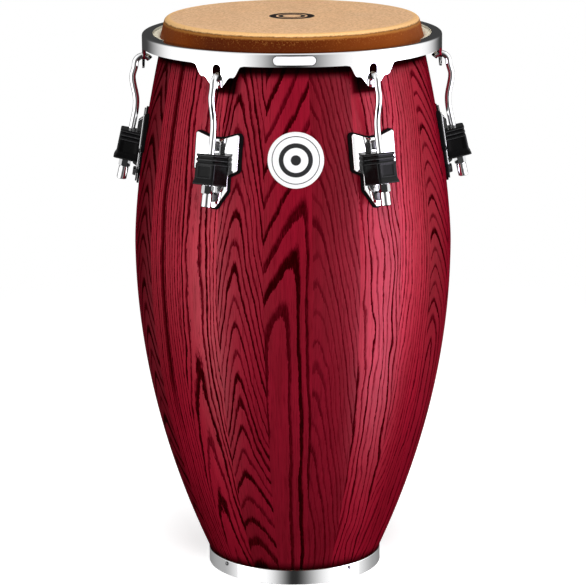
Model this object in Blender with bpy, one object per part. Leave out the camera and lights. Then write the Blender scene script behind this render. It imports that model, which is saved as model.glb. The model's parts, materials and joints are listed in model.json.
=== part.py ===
# Tumba, the widest of the conga family: a barrel shell of ash staves, a hide head
# lapped round a steel hoop, a pressed rim pulled down by six hooked lugs, side plates
# with their isolating blocks, and a foot band.
# Metres, +Z up. The origin is the centre of the foot on the floor, and the badge
# faces -Y. Inside a tuning station, X points outwards, Y runs along the shell and Z up.

from math import acos, asin, atan, atan2, cos, degrees, hypot, pi, radians, sin, sqrt, tan

import bmesh
import bpy
from mathutils import Matrix, Vector

for thing in list(bpy.data.objects):
    bpy.data.objects.remove(thing, do_unlink=True)

# Clearances
touch_gap = 0.0003          # between two pieces that bear on each other
bolt_gap = 0.0003           # round a bolt or a screw in its hole
rod_gap = 0.0004            # round a lug's rod in the block, the bracket and the nut
overrun = 0.0200            # how far a cutter reaches past what it cuts

# Meshes
merge_distance = 0.00001
refinements = 12            # steps that settle a point on a curved wall

# Round parts
round_sides = 42            # sides of the shell, the head, the hoop and the band
shell_rows = 10             # rows of faces up the shell's side
bore_row_count = 8          # and up its inside
lap_steps = 7               # steps of the hide's lap round the hoop

# Shell
bearing_height = 0.7085     # top of the bearing edge
bearing_edge_radius = 0.004
bearing_radius = 0.157      # where the side would meet the bearing edge unrounded
belly_radius = 0.2008
belly_height = 0.425
upper_fullness = 1.55
lower_fullness = 2.0
foot_radius = 0.1015        # where the side would meet the floor without the band's seat
wall = 0.012
inner_edge_chamfer = 0.003

# Foot band
band_height = 0.0185
band_thickness = 0.0015
band_radius = 0.1113        # outside
band_screws = 4
band_screw_turn = radians(37.5)
band_screw_height = 0.0145
screw_head_radius = 0.0025
screw_head_height = 0.0012
screw_shank_radius = 0.0012
screw_length = 0.010
screw_crown_radius = 0.0015  # the flat on top of the domed head
screw_crown_drop = 0.0007

# Head. From here on, a drop is measured down from the top of the bearing edge.
hide_thickness = 0.0022
hoop_wire_radius = 0.004
hoop_drop = 0.0256
hoop_running_gap = 0.0010   # from the shell's side to the hide inside the hoop

# Rim
rim_reach = 0.0171696       # the rim's outside from the hoop's middle
rim_thickness = 0.0028
rim_corner_radius = 0.0030
rim_lip_width = 0.0135
rim_edge_drop = 0.0332  # lower edge between the ears
ear_shoulder_drop = 0.0477
ear_tip_drop = 0.0612
ear_half_width = 0.0330
ear_neck_half_width = 0.0220
tip_half_width = 0.0185
tip_flat_half_width = 0.0040
slot_width = 0.0110
slot_top_drop = 0.0323
slot_foot_corner = 0.0016

# Tuning lugs
stations = 6
first_station = radians(30)     # from the badge
rod_radius = 0.0040
rod_tilt = radians(12.7)
hook_radius = 0.0102        # centre line of the hook
hook_wrap = radians(145)    # from the outer leg round to the hook's end
hook_apex_drop = 0.0462
bulge_stand_off = 0.0273112 # the lug's outermost bend, from the shell beside it
bulge_drop = 0.0725
waist_stand_off = 0.0173484 # the bend below it
waist_drop = 0.1025
straight_drop = 0.1205  # the rod is straight below this
rod_end_drop = 0.1935
rod_stand_off = 0.0141343   # the rod's axis from the plate's face, at the plate's middle

# Side plates and their brackets
plate_thickness = 0.0020
plate_mid_drop = 0.1585
plate_corner_drop = 0.1155
plate_notch_drop = 0.1230
plate_wing_drop = 0.1595
plate_step_drop = 0.1655
plate_foot_drop = 0.1845
plate_tip_drop = 0.2050
plate_half_width = 0.0297
plate_foot_half_width = 0.0172
plate_tip_half_width = 0.0030
bracket_half_width = 0.0065     # inside the two bent ribs
rib_thickness = 0.0015
rib_depth = 0.0060
rib_top_drop = 0.1225
rib_foot_drop = 0.1860
tongue_thickness = 0.0030
tongue_rise = 0.0090        # its underside above the block's underside
tongue_reach = 0.0085       # past the rod's axis
gasket_thickness = 0.0018   # where it is thinnest
gasket_border = 0.0020

# Isolating blocks
block_foot_drop = 0.1761  # underside, on the rod's axis
block_length = 0.0375
block_front = 0.0135        # front face from the rod's axis
block_front_half_width = 0.0132
block_back_half_width = 0.0160
block_corner = 0.0022
block_edge = 0.0010
groove_depth = 0.0011
groove_width = 0.0026
groove_drops = (0.0045, 0.0100)     # middles of the two grooves below the top
lip_height = 0.0060
lip_flare = 0.0022

# Tuning nuts
nut_across_flats = 0.0130
nut_hex_length = 0.0100
sleeve_radius = 0.0062
sleeve_length = 0.0162

# Plate bolts and the plates inside the shell
bolt_drops = {"upper": 0.1318, "lower": 0.1928}
bolt_radius = 0.0025
bolt_across_flats = 0.0100
bolt_head_height = 0.0040
bolt_head_chamfer = 0.0008
backing_half_width = 0.0120
backing_border = 0.0120     # past each bolt's axis
backing_thickness = 0.0025
weld_nut_radius = 0.0065
weld_nut_height = 0.0050

# Badge
badge_radius = 0.0340
badge_drop = 0.1455
badge_thickness = 0.0014

# Heights above the floor of what hangs from the bearing edge
hoop_height = bearing_height - hoop_drop
rim_edge_height = bearing_height - rim_edge_drop
ear_shoulder_height = bearing_height - ear_shoulder_drop
ear_tip_height = bearing_height - ear_tip_drop
slot_top_height = bearing_height - slot_top_drop
hook_apex_height = bearing_height - hook_apex_drop
bulge_height = bearing_height - bulge_drop
waist_height = bearing_height - waist_drop
straight_height = bearing_height - straight_drop
rod_end_height = bearing_height - rod_end_drop
plate_mid_height = bearing_height - plate_mid_drop
plate_corner_height = bearing_height - plate_corner_drop
plate_notch_height = bearing_height - plate_notch_drop
plate_wing_height = bearing_height - plate_wing_drop
plate_step_height = bearing_height - plate_step_drop
plate_foot_height = bearing_height - plate_foot_drop
plate_tip_height = bearing_height - plate_tip_drop
rib_top_height = bearing_height - rib_top_drop
rib_foot_height = bearing_height - rib_foot_drop
block_foot_height = bearing_height - block_foot_drop
badge_height = bearing_height - badge_drop
bolt_heights = {level: bearing_height - drop for level, drop in bolt_drops.items()}


def finish(name, colour, roughness, metallic):
    material = bpy.data.materials.new(name)
    material.use_nodes = True
    shader = material.node_tree.nodes["Principled BSDF"]
    shader.inputs["Base Color"].default_value = (*colour, 1)
    shader.inputs["Roughness"].default_value = roughness
    shader.inputs["Metallic"].default_value = metallic
    return material


red_ash = finish("red_ash", (0.33, 0.012, 0.03), 0.35, 0)
chrome = finish("chrome", (0.86, 0.86, 0.87), 0.06, 1)
steel = finish("steel", (0.45, 0.45, 0.46), 0.4, 1)
black_rubber = finish("black_rubber", (0.015, 0.015, 0.016), 0.6, 0)
black_nylon = finish("black_nylon", (0.012, 0.012, 0.013), 0.42, 0)
hide = finish("hide", (0.62, 0.40, 0.21), 0.5, 0)


# Meshes

def mesh_of(points, faces):
    mesh = bpy.data.meshes.new("shape")
    mesh.from_pydata([tuple(p) for p in points], [], faces)
    mesh.validate()
    work = bmesh.new()
    work.from_mesh(mesh)
    bmesh.ops.recalc_face_normals(work, faces=work.faces)
    work.to_mesh(mesh)
    work.free()
    return mesh


def node(name, mesh, material, parent=None, place=None):
    mesh.name = name
    if not mesh.materials:
        mesh.materials.append(material)
        mesh.shade_smooth()
        mesh.set_sharp_from_angle(angle=radians(35))
    made = bpy.data.objects.new(name, mesh)
    bpy.context.scene.collection.objects.link(made)
    made.parent = parent
    if place is not None:
        made.matrix_local = place
    return made


# A closed outline of (radius, height) points turned round the Z axis.
# A point at radius 0 becomes one vertex.
def turned(outline, sides=round_sides):
    points, rings = [], []
    for radius, height in outline:
        if radius == 0:
            rings.append([len(points)] * sides)
            points.append((0, 0, height))
            continue
        rings.append(list(range(len(points), len(points) + sides)))
        for i in range(sides):
            turn = 2 * pi * i / sides
            points.append((radius * cos(turn), radius * sin(turn), height))
    faces = []
    for ring, after in zip(rings, rings[1:] + rings[:1]):
        for i in range(sides):
            j = (i + 1) % sides
            face = dict.fromkeys([ring[i], ring[j], after[j], after[i]])
            if len(face) > 2:
                faces.append(list(face))
    return mesh_of(points, faces)


# Rings of the same number of points, joined one to the next and capped at both ends.
def lofted(rings):
    count = len(rings[0])
    points = [p for ring in rings for p in ring]
    faces = [list(range(count))[::-1]]
    faces.append([len(points) - count + i for i in range(count)])
    for start in range(0, len(points) - count, count):
        for i in range(count):
            j = (i + 1) % count
            faces.append([start + i, start + j, start + count + j, start + count + i])
    return mesh_of(points, faces)


def polygon(radius, sides, turn=0.0):
    steps = (turn + 2 * pi * i / sides for i in range(sides))
    return [(radius * cos(a), radius * sin(a)) for a in steps]


# A straight prism on an outline in the XY plane, moved by a matrix.
def prism(outline, low, high, place=Matrix()):
    rings = [[place @ Vector((x, y, z)) for x, y in outline] for z in (low, high)]
    return lofted(rings)


def box(low, high, place=Matrix()):
    corners = [(low[0], low[1]), (high[0], low[1]), (high[0], high[1]), (low[0], high[1])]
    return prism(corners, low[2], high[2], place)


# One mesh made of several, kept as separate bodies, for use as a cutter.
def gathered(meshes):
    work = bmesh.new()
    for mesh in meshes:
        work.from_mesh(mesh)
    joined = bpy.data.meshes.new("cutter")
    work.to_mesh(joined)
    work.free()
    return joined


def cutter(name, mesh, parent=None):
    made = bpy.data.objects.new(name, mesh)
    bpy.context.scene.collection.objects.link(made)
    made.parent = parent
    made.hide_render = True
    made.display_type = "WIRE"
    return made


def shape_with(target, tool, operation):
    step = target.modifiers.new(tool.name, "BOOLEAN")
    step.operation = operation
    step.solver = "EXACT"
    step.object = tool


# The mesh that a list of (mesh, operation) steps leaves of a first mesh.
def worked(mesh, steps):
    blank = cutter("blank", mesh)
    tools = []
    for number, (tool_mesh, operation) in enumerate(steps):
        tool = cutter(f"tool_{number}", tool_mesh)
        tools.append(tool)
        shape_with(blank, tool, operation)
    depsgraph = bpy.context.evaluated_depsgraph_get()
    result = bpy.data.meshes.new_from_object(blank.evaluated_get(depsgraph))
    for used in [blank] + tools:
        bpy.data.objects.remove(used, do_unlink=True)
    result.materials.clear()
    work = bmesh.new()
    work.from_mesh(result)
    bmesh.ops.remove_doubles(work, verts=work.verts, dist=merge_distance)
    bmesh.ops.triangulate(work, faces=work.faces)
    work.to_mesh(result)
    work.free()
    return result


def empty(name, parent=None, place=None):
    made = bpy.data.objects.new(name, None)
    bpy.context.scene.collection.objects.link(made)
    made.empty_display_size = 0.03
    made.parent = parent
    if place is not None:
        made.matrix_local = place
    return made


# Shell

def shell_radius(height):
    if height > belly_height:
        share = (height - belly_height) / (bearing_height - belly_height)
        return belly_radius - (belly_radius - bearing_radius) * share ** upper_fullness
    share = (belly_height - height) / belly_height
    return belly_radius - (belly_radius - foot_radius) * share ** lower_fullness


# The side's lean where it meets the rounded bearing edge, from the vertical
def side_lean(height):
    step = 0.001
    return atan((shell_radius(height - step) - shell_radius(height)) / step)


edge_lean = side_lean(bearing_height - bearing_edge_radius)
edge_centre_height = bearing_height - bearing_edge_radius
edge_centre_radius = shell_radius(edge_centre_height) - bearing_edge_radius / cos(edge_lean)
band_seat_radius = band_radius - band_thickness - touch_gap
side_foot_height = band_height + touch_gap


# The shell's inside, turned in straight rows: (radius, height) from the foot up
def bore_row(height):
    return max(shell_radius(height), band_seat_radius) - wall, height


bore_high = bearing_height - 2 * inner_edge_chamfer
bore_rows = [bore_row(bore_high * i / bore_row_count) for i in range(bore_row_count + 1)]


# The inside radius between those rows, at the middle of a flat
def bore_radius(height):
    for (r0, z0), (r1, z1) in zip(bore_rows, bore_rows[1:]):
        if z0 <= height <= z1:
            return (r0 + (r1 - r0) * (height - z0) / (z1 - z0)) * cos(pi / round_sides)
    return bore_rows[-1][0] * cos(pi / round_sides)


def shell_outline():
    outer = [(band_seat_radius, 0), (band_seat_radius, side_foot_height)]
    side_top = edge_centre_height + bearing_edge_radius * sin(edge_lean)
    for i in range(shell_rows + 1):
        height = side_foot_height + (side_top - side_foot_height) * i / shell_rows
        outer.append((shell_radius(height), height))
    edge_steps = 3
    for i in range(1, edge_steps + 1):
        turn = edge_lean + (pi / 2 - edge_lean) * i / edge_steps
        across = edge_centre_radius + bearing_edge_radius * cos(turn)
        outer.append((across, edge_centre_height + bearing_edge_radius * sin(turn)))
    chamfer_top = bore_rows[-1][0] + inner_edge_chamfer
    return outer + [(chamfer_top, bearing_height)] + bore_rows[::-1]


# Everything that repeats at a tuning station is placed in the station's own frame,
# whose X axis runs outwards. The plate's frame lies on the middle of its front face,
# with X square out of the plate and Z up along it. The rod's frame lies on the rod's
# axis at the block's underside, with Z up along the rod.

def plane_frame(radius, height, lean):
    return Matrix.Translation((radius, 0, height)) @ Matrix.Rotation(-lean, 4, "Y")


plate_lean = atan(
    (shell_radius(plate_tip_height) - shell_radius(plate_corner_height))
    / (plate_corner_height - plate_tip_height)
)
plate_stand_off = touch_gap + gasket_thickness + touch_gap + plate_thickness
plate_radius = shell_radius(plate_mid_height) + plate_stand_off / cos(plate_lean)
plate_frame = plane_frame(plate_radius, plate_mid_height, plate_lean)


def rod_axis_radius(height):
    return plate_radius + rod_stand_off + (plate_mid_height - height) * tan(rod_tilt)


rod_frame = plane_frame(rod_axis_radius(block_foot_height), block_foot_height, rod_tilt)
rod_from_plate = plate_frame.inverted() @ rod_frame


# Height along the plate of a level above the floor
def up_plate(height):
    return (height - plate_mid_height) / cos(plate_lean)


# The plate's front face seen from the rod's frame: how far it lies behind the axis,
# at a place along the rod
def behind_rod(along):
    point = rod_from_plate @ Vector((0, 0, along))
    normal = rod_from_plate.to_3x3() @ Vector((1, 0, 0))
    return -point.x / normal.x


# Holes and bores are eight-sided, so their flats are what clears the shank.
def clear_radius(shank, gap, sides):
    return (shank + gap) / cos(pi / sides)


hole_sides = 8
bore_sides = 8
sleeve_sides = 12
bolt_hole_radius = clear_radius(bolt_radius, bolt_gap, hole_sides)
bore_outline = polygon(clear_radius(rod_radius, rod_gap, bore_sides), bore_sides, pi / bore_sides)


# A frame whose Z axis points inwards along a bolt, square to the plate, with its
# origin on the plate's front face
def bolt_frame(height):
    inwards = Matrix.Rotation(-pi / 2, 4, "Y")
    return plate_frame @ Matrix.Translation((0, 0, up_plate(height))) @ inwards


def bolt_drill(height, length, start=-touch_gap):
    outline = polygon(bolt_hole_radius, hole_sides, pi / hole_sides)
    return prism(outline, start, length, bolt_frame(height))


def screw_frame():
    return Matrix.Translation((band_radius, 0, band_screw_height)) @ Matrix.Rotation(-pi / 2, 4, "Y")


def turned_about_z(mesh, turn):
    copy = mesh.copy()
    copy.transform(Matrix.Rotation(turn, 4, "Z"))
    return copy


def station_turn(number):
    return -pi / 2 + first_station + 2 * pi * number / stations


def screw_turn(number):
    return -pi / 2 + band_screw_turn + 2 * pi * number / band_screws


through_wall = 2 * wall + plate_stand_off
pilot_radius = clear_radius(screw_shank_radius, bolt_gap, hole_sides)
pilot_outline = polygon(pilot_radius, hole_sides)
pilot_hole = prism(pilot_outline, -touch_gap, screw_length + touch_gap, screw_frame())
shell_drills = []
for number in range(stations):
    for height in bolt_heights.values():
        shell_drills.append(turned_about_z(bolt_drill(height, through_wall), station_turn(number)))
for number in range(band_screws):
    shell_drills.append(turned_about_z(pilot_hole, screw_turn(number)))

shell = node("shell", turned(shell_outline()), red_ash)
shape_with(shell, cutter("shell_drills", gathered(shell_drills)), "DIFFERENCE")

# Foot band and its screws

band_inner_radius = band_radius - band_thickness
band_outline = [
    (band_inner_radius, 0), (band_radius, 0),
    (band_radius, band_height), (band_inner_radius, band_height),
]
band = node("bottom_band", turned(band_outline), chrome)
band_holes = [turned_about_z(pilot_hole, screw_turn(number)) for number in range(band_screws)]
shape_with(band, cutter("band_holes", gathered(band_holes)), "DIFFERENCE")


# A fastener along its own Z axis, head first: (radius, place along the axis) rings
def fastener(steps, sides, turn=0.0):
    rings = []
    for radius, along in steps:
        rings.append([Vector((x, y, along)) for x, y in polygon(radius, sides, turn)])
    return lofted(rings)


screw_sides = 6
screw_steps = [
    (screw_crown_radius, -screw_head_height - touch_gap),
    (screw_head_radius, screw_crown_drop - screw_head_height - touch_gap),
    (screw_head_radius, -touch_gap),
    (screw_shank_radius, -touch_gap),
    (screw_shank_radius, screw_length),
]
screw_mesh = fastener(screw_steps, screw_sides)
for number in range(band_screws):
    place = Matrix.Rotation(screw_turn(number), 4, "Z") @ screw_frame()
    node(f"band_screw_{number + 1}", screw_mesh, steel, place=place)

# Head: the hide lies over the bearing edge, comes down outside the shell and laps
# all round the hoop, and its cut end is tucked back against its own side.

head_axis = empty("head_axis")
hide_mid = touch_gap + hide_thickness / 2
edge_bend = bearing_edge_radius + hide_mid
lap_inner_radius = (hoop_wire_radius + touch_gap) / cos(pi / (lap_steps + 1))
lap_bend = lap_inner_radius + hide_thickness / 2
lap_radius = lap_inner_radius + hide_thickness
hoop_radius = shell_radius(hoop_height) + hoop_running_gap + lap_radius
rim_outer_radius = hoop_radius + rim_reach


# Where the hide's straight side runs, as the line that crosses between two circles:
# the bend over the bearing edge and the lap round the hoop
def side_direction():
    across = hoop_radius - edge_centre_radius
    down = hoop_height - edge_centre_height
    return atan2(down, across) - asin((edge_bend + lap_bend) / hypot(across, down))


def hide_path():
    lean = side_direction() + pi / 2
    path = [(0, bearing_height + hide_mid, pi / 2)]
    edge_steps = 3
    for i in range(edge_steps + 1):
        turn = pi / 2 + (lean - pi / 2) * i / edge_steps
        path.append((edge_centre_radius + edge_bend * cos(turn),
                     edge_centre_height + edge_bend * sin(turn), turn))
    tuck_turn = lean + acos(-lap_inner_radius / lap_radius) + 2 * pi
    start = lean + pi
    for i in range(lap_steps + 1):
        turn = start + (tuck_turn - start) * i / lap_steps
        path.append((hoop_radius + lap_bend * cos(turn),
                     hoop_height + lap_bend * sin(turn), turn - pi))
    return path


def hide_outline():
    half = hide_thickness / 2
    outside = [(r + half * cos(a), z + half * sin(a)) for r, z, a in hide_path()]
    inside = [(r - half * cos(a), z - half * sin(a)) for r, z, a in hide_path()]
    outside[0] = (0, outside[0][1])
    inside[0] = (0, inside[0][1])
    return outside + inside[::-1]


node("drum_skin", turned(hide_outline()), hide, head_axis)
hoop_outline = [(hoop_radius + x, hoop_height + y) for x, y in polygon(hoop_wire_radius, 7)]
node("flesh_hoop", turned(hoop_outline), steel, head_axis)

# Rim: a lip that bears on the lapped hoop, a band, and an ear over each station

rim_lip_radius = rim_outer_radius - rim_lip_width
lip_underside = hoop_height + touch_gap + sqrt(lap_radius ** 2 - (rim_lip_radius - hoop_radius) ** 2)
rim_top = lip_underside + rim_thickness
rim_inner_radius = rim_outer_radius - rim_thickness


def smooth(share):
    share = min(1.0, max(0.0, share))
    return share * share * (3 - 2 * share)


# Lower edge of the rim at a distance along it from the middle of an ear: two smooth
# steps, one down to the shoulders and one down to the tip
def ear_edge(along):
    shoulder = smooth((ear_half_width - abs(along)) / (ear_half_width - ear_neck_half_width))
    tip = smooth((tip_half_width - abs(along)) / (tip_half_width - tip_flat_half_width))
    height = rim_edge_height - (rim_edge_height - ear_shoulder_height) * shoulder
    return height - (ear_shoulder_height - ear_tip_height) * tip


def rim_columns():
    steps_each_side, steps_between = 6, 3
    half_turn = ear_half_width / rim_outer_radius
    gap_turn = 2 * pi / stations - 2 * half_turn
    columns = []
    for number in range(stations):
        middle = station_turn(number)
        for i in range(-steps_each_side, steps_each_side + 1):
            along = ear_half_width * i / steps_each_side
            columns.append((middle + along / rim_outer_radius, ear_edge(along)))
        for i in range(1, steps_between):
            columns.append((middle + half_turn + gap_turn * i / steps_between, rim_edge_height))
    return columns


def rim_outline(edge):
    corner_radius = rim_outer_radius - rim_corner_radius
    corner_height = rim_top - rim_corner_radius
    outline = [(rim_lip_radius, lip_underside), (rim_lip_radius, rim_top)]
    for i in range(3):
        turn = pi / 2 - pi / 4 * i
        outline.append((corner_radius + rim_corner_radius * cos(turn),
                        corner_height + rim_corner_radius * sin(turn)))
    outline += [(rim_outer_radius, edge), (rim_inner_radius, edge)]
    outline.append((rim_inner_radius, lip_underside))
    return outline


def rim_mesh():
    points, faces = [], []
    columns = rim_columns()
    count = len(rim_outline(0))
    for turn, edge in columns:
        points += [(r * cos(turn), r * sin(turn), z) for r, z in rim_outline(edge)]
    for column in range(len(columns)):
        start, after = column * count, (column + 1) % len(columns) * count
        for i in range(count):
            j = (i + 1) % count
            faces.append([start + i, start + j, after + j, after + i])
    return mesh_of(points, faces)


# The hook hangs over the slot's lower edge, whose two corners stay clear of its bend.
hook_centre_radius = rim_outer_radius - rim_thickness / 2
hook_centre_height = hook_apex_height - hook_radius
hook_throat = hook_radius - rod_radius - touch_gap
slot_foot_height = hook_centre_height + sqrt(hook_throat ** 2 - (rim_thickness / 2) ** 2)


def slot_cutter():
    half = slot_width / 2
    arc_steps = 6
    foot_half = half - slot_foot_corner
    outline = [(half, slot_foot_height + slot_foot_corner), (foot_half, slot_foot_height),
               (-foot_half, slot_foot_height), (-half, slot_foot_height + slot_foot_corner)]
    for i in range(arc_steps + 1):
        turn = pi - pi * i / arc_steps
        outline.append((half * cos(turn), slot_top_height - half + half * sin(turn)))
    depth = (rim_inner_radius - rim_thickness, rim_outer_radius + rim_thickness)
    return lofted([[(x, y, z) for y, z in outline] for x in depth])


rim = node("rim", rim_mesh(), chrome, head_axis)
slots = [turned_about_z(slot_cutter(), station_turn(number)) for number in range(stations)]
shape_with(rim, cutter("rim_slots", gathered(slots)), "DIFFERENCE")


# Tuning lugs: a rod hooked over the rim, bent out and in again above the block and
# straight below, given by its centre line's (radius, height) points

# The height of the rod between two bends is a cubic that leaves the first upright
# and enters the second at a given slope.
def between_bends(first, second, slope, steps):
    (r0, z0), (r1, z1) = first, second
    drop = z0 - z1
    points = []
    for i in range(1, steps + 1):
        s = i / steps
        rise = (3 * s ** 2 - 2 * s ** 3) * (r1 - r0) + (s ** 3 - s ** 2) * slope * drop
        points.append((r0 + rise, z0 - s * drop))
    return points


def lug_path():
    hook_steps = 6
    path = []
    for i in range(hook_steps + 1):
        turn = hook_wrap * (1 - i / hook_steps)
        path.append((hook_centre_radius + hook_radius * cos(turn),
                     hook_centre_height + hook_radius * sin(turn)))
    bulge = (shell_radius(bulge_height) + bulge_stand_off, bulge_height)
    waist = (shell_radius(waist_height) + waist_stand_off, waist_height)
    straight = (rod_axis_radius(straight_height), straight_height)
    path += between_bends(path[-1], bulge, 0, 3)
    path += between_bends(bulge, waist, 0, 4)
    path += between_bends(waist, straight, tan(rod_tilt), 3)
    path.append((rod_axis_radius(rod_end_height), rod_end_height))
    return path


# A round rod along a path in the station's XZ plane
def rod_along(path, radius, sides):
    rings = []
    for i, (r, z) in enumerate(path):
        before, after = path[max(i - 1, 0)], path[min(i + 1, len(path) - 1)]
        run = Vector((after[0] - before[0], 0, after[1] - before[1])).normalized()
        side = Vector((0, 1, 0))
        out = side.cross(run)
        ring = [Vector((r, 0, z)) + out * x + side * y for x, y in polygon(radius, sides, pi / sides)]
        rings.append(ring)
    return lofted(rings)


rod_sides = 8
lug_mesh = rod_along(lug_path(), rod_radius, rod_sides)
lug_mesh.transform(rod_frame.inverted())

# Tuning nuts: a hexagon that pulls up against the block, and a round sleeve below

nut_corner_radius = nut_across_flats / 2 / cos(pi / 6)
nut_top = -touch_gap
hex_foot = nut_top - nut_hex_length
sleeve_foot = hex_foot - sleeve_length
nut_mesh = worked(
    prism(polygon(nut_corner_radius, 6, pi / 6), hex_foot, nut_top),
    [(prism(polygon(sleeve_radius, sleeve_sides), sleeve_foot, hex_foot + nut_hex_length / 2), "UNION"),
     (prism(bore_outline, sleeve_foot - overrun, overrun), "DIFFERENCE")],
)


# Isolating blocks: a tapered section that leans back to the plate, with two grooves
# near the top and a flared lip at the foot of the front

def block_section(along, inset=0.0, flare=0.0):
    back = behind_rod(along) + touch_gap
    front = block_front - inset + flare
    front_half = block_front_half_width - inset
    back_half = block_back_half_width - inset
    half = [(back, back_half), (front - block_corner, front_half), (front, front_half - block_corner)]
    outline = half + [(x, -y) for x, y in half[::-1]]
    return [Vector((x, y, along)) for x, y in outline]


def block_body():
    rings = [
        block_section(0, flare=lip_flare, inset=block_edge),
        block_section(block_edge, flare=lip_flare),
        block_section(lip_height, flare=lip_flare),
        block_section(2 * lip_height),
    ]
    for drop in sorted(groove_drops, reverse=True):
        middle = block_length - drop
        rings.append(block_section(middle - groove_width / 2))
        rings.append(block_section(middle, inset=groove_depth))
        rings.append(block_section(middle + groove_width / 2))
    rings.append(block_section(block_length - block_edge))
    rings.append(block_section(block_length, inset=block_edge))
    return lofted(rings)


rib_outer_half_width = bracket_half_width + rib_thickness
bracket_room = rib_outer_half_width + touch_gap
tongue_back = behind_rod(tongue_rise) - plate_thickness / 2

# The recess for the bracket's ribs is as deep as the ribs all the way up the block.
recess = box(
    (-overrun, -bracket_room, up_plate(rib_foot_height) - overrun),
    (rib_depth + touch_gap, bracket_room, up_plate(rib_top_height) + overrun),
    rod_frame.inverted() @ plate_frame,
)
tongue_room = box(
    (tongue_back, -bracket_room, tongue_rise - touch_gap),
    (tongue_reach + touch_gap, bracket_room, tongue_rise + tongue_thickness + touch_gap),
)
rod_bore = prism(bore_outline, -overrun, block_length + overrun)
block_mesh = worked(
    block_body(),
    [(recess, "DIFFERENCE"), (tongue_room, "DIFFERENCE"), (rod_bore, "DIFFERENCE")],
)


# Side plates, with two bent ribs and a tongue that the rod passes through

def plate_half_outline():
    return [
        (bracket_half_width, up_plate(plate_notch_height)),
        (plate_half_width, up_plate(plate_corner_height)),
        (plate_half_width, up_plate(plate_wing_height)),
        (plate_foot_half_width, up_plate(plate_step_height)),
        (plate_foot_half_width, up_plate(plate_foot_height)),
        (plate_tip_half_width, up_plate(plate_tip_height)),
    ]


def both_halves(half):
    return half + [(-y, z) for y, z in half[::-1]]


# The outline moved out by a border, each corner along the bisector of its two edges
def bordered(outline, border):
    moved = []
    for i, point in enumerate(outline):
        here = Vector(point)
        run_in = (here - Vector(outline[i - 1])).normalized()
        run_out = (Vector(outline[(i + 1) % len(outline)]) - here).normalized()
        side_in, side_out = (Vector((-run.y, run.x)) for run in (run_in, run_out))
        middle = (side_in + side_out).normalized()
        moved.append(here + middle * (border / max(0.3, middle.dot(side_in))))
    return moved


def sheet(outline, back, front):
    rings = [[Vector((x, y, z)) for y, z in outline] for x in (back, front)]
    return lofted(rings)


plate_outline = both_halves(plate_half_outline())
rib_low, rib_high = up_plate(rib_foot_height), up_plate(rib_top_height)
plate_from_rod = plate_frame.inverted() @ rod_frame
plate_steps = []
for side in (-1, 1):
    inner, outer = sorted((side * bracket_half_width, side * rib_outer_half_width))
    rib = box((-plate_thickness / 2, inner, rib_low), (rib_depth, outer, rib_high))
    plate_steps.append((rib, "UNION"))
tongue = box(
    (tongue_back, -rib_outer_half_width, tongue_rise),
    (tongue_reach, rib_outer_half_width, tongue_rise + tongue_thickness),
    plate_from_rod,
)
tongue_hole = prism(bore_outline, 0, tongue_rise + 2 * tongue_thickness, plate_from_rod)
plate_steps += [(tongue, "UNION"), (tongue_hole, "DIFFERENCE")]
plate_inverse = plate_frame.inverted()
for height in bolt_heights.values():
    drill = bolt_drill(height, 2 * plate_thickness)
    drill.transform(plate_inverse)
    plate_steps.append((drill, "DIFFERENCE"))
plate_mesh = worked(sheet(plate_outline, -plate_thickness, 0), plate_steps)


# Gaskets: flat against the plate, and moulded to the shell behind. The outline is
# sliced into strips so that the back can follow the curve.
def gasket_body():
    outline = bordered(plate_outline, gasket_border)
    front = -plate_thickness - touch_gap
    work = bmesh.new()
    work.faces.new([work.verts.new((front, y, z)) for y, z in outline])
    strip = 0.013
    reach = plate_half_width + gasket_border
    cuts = int(reach / strip + 0.5)
    for i in range(-cuts, cuts):
        slice_mesh(work, Vector((0, (i + 0.5) * strip, 0)), Vector((0, 1, 0)))
    for height in ((plate_corner_height + plate_wing_height) / 2, plate_step_height):
        slice_mesh(work, Vector((0, 0, up_plate(height))), Vector((0, 0, 1)))
    made = bmesh.ops.extrude_face_region(work, geom=work.faces[:])
    for vert in made["geom"]:
        if isinstance(vert, bmesh.types.BMVert):
            vert.co = on_shell(vert.co)
    bmesh.ops.recalc_face_normals(work, faces=work.faces)
    mesh = bpy.data.meshes.new("gasket")
    work.to_mesh(mesh)
    work.free()
    return mesh


def slice_mesh(work, point, normal):
    geometry = work.verts[:] + work.edges[:] + work.faces[:]
    bmesh.ops.bisect_plane(work, geom=geometry, plane_co=point, plane_no=normal, dist=1e-6)


# The point straight behind a point of the plate's frame that lies just off the shell
def on_shell(point):
    x = point.x
    for _ in range(refinements):
        place = plate_frame @ Vector((x, point.y, point.z))
        x -= hypot(place.x, place.y) - shell_radius(place.z) - touch_gap
    return Vector((x, point.y, point.z))


gasket_steps = []
for height in bolt_heights.values():
    drill = bolt_drill(height, 4 * gasket_thickness + plate_thickness)
    drill.transform(plate_inverse)
    gasket_steps.append((drill, "DIFFERENCE"))
gasket_mesh = worked(gasket_body(), gasket_steps)

# Plate bolts, and inside the shell a backing plate with two welded nuts

backing_low = up_plate(min(bolt_heights.values())) - backing_border
backing_high = up_plate(max(bolt_heights.values())) + backing_border


# How far behind the plate's front face a corner of the backing plate meets the bore
def behind_wall(along):
    x = -wall
    for _ in range(refinements):
        place = plate_frame @ Vector((x, backing_half_width, along))
        x -= hypot(place.x, place.y) - bore_radius(place.z)
    return x


backing_face = min(behind_wall(backing_low), behind_wall(backing_high)) - touch_gap
bolt_reach = -backing_face + backing_thickness + weld_nut_height
bolt_corner_radius = bolt_across_flats / 2 / cos(pi / 6)
bolt_steps = [
    (bolt_corner_radius - bolt_head_chamfer, -bolt_head_height - touch_gap),
    (bolt_corner_radius, bolt_head_chamfer - bolt_head_height - touch_gap),
    (bolt_corner_radius, -touch_gap),
    (bolt_radius, -touch_gap),
    (bolt_radius, bolt_reach),
]
bolt_mesh = fastener(bolt_steps, 6, pi / 6)


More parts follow.
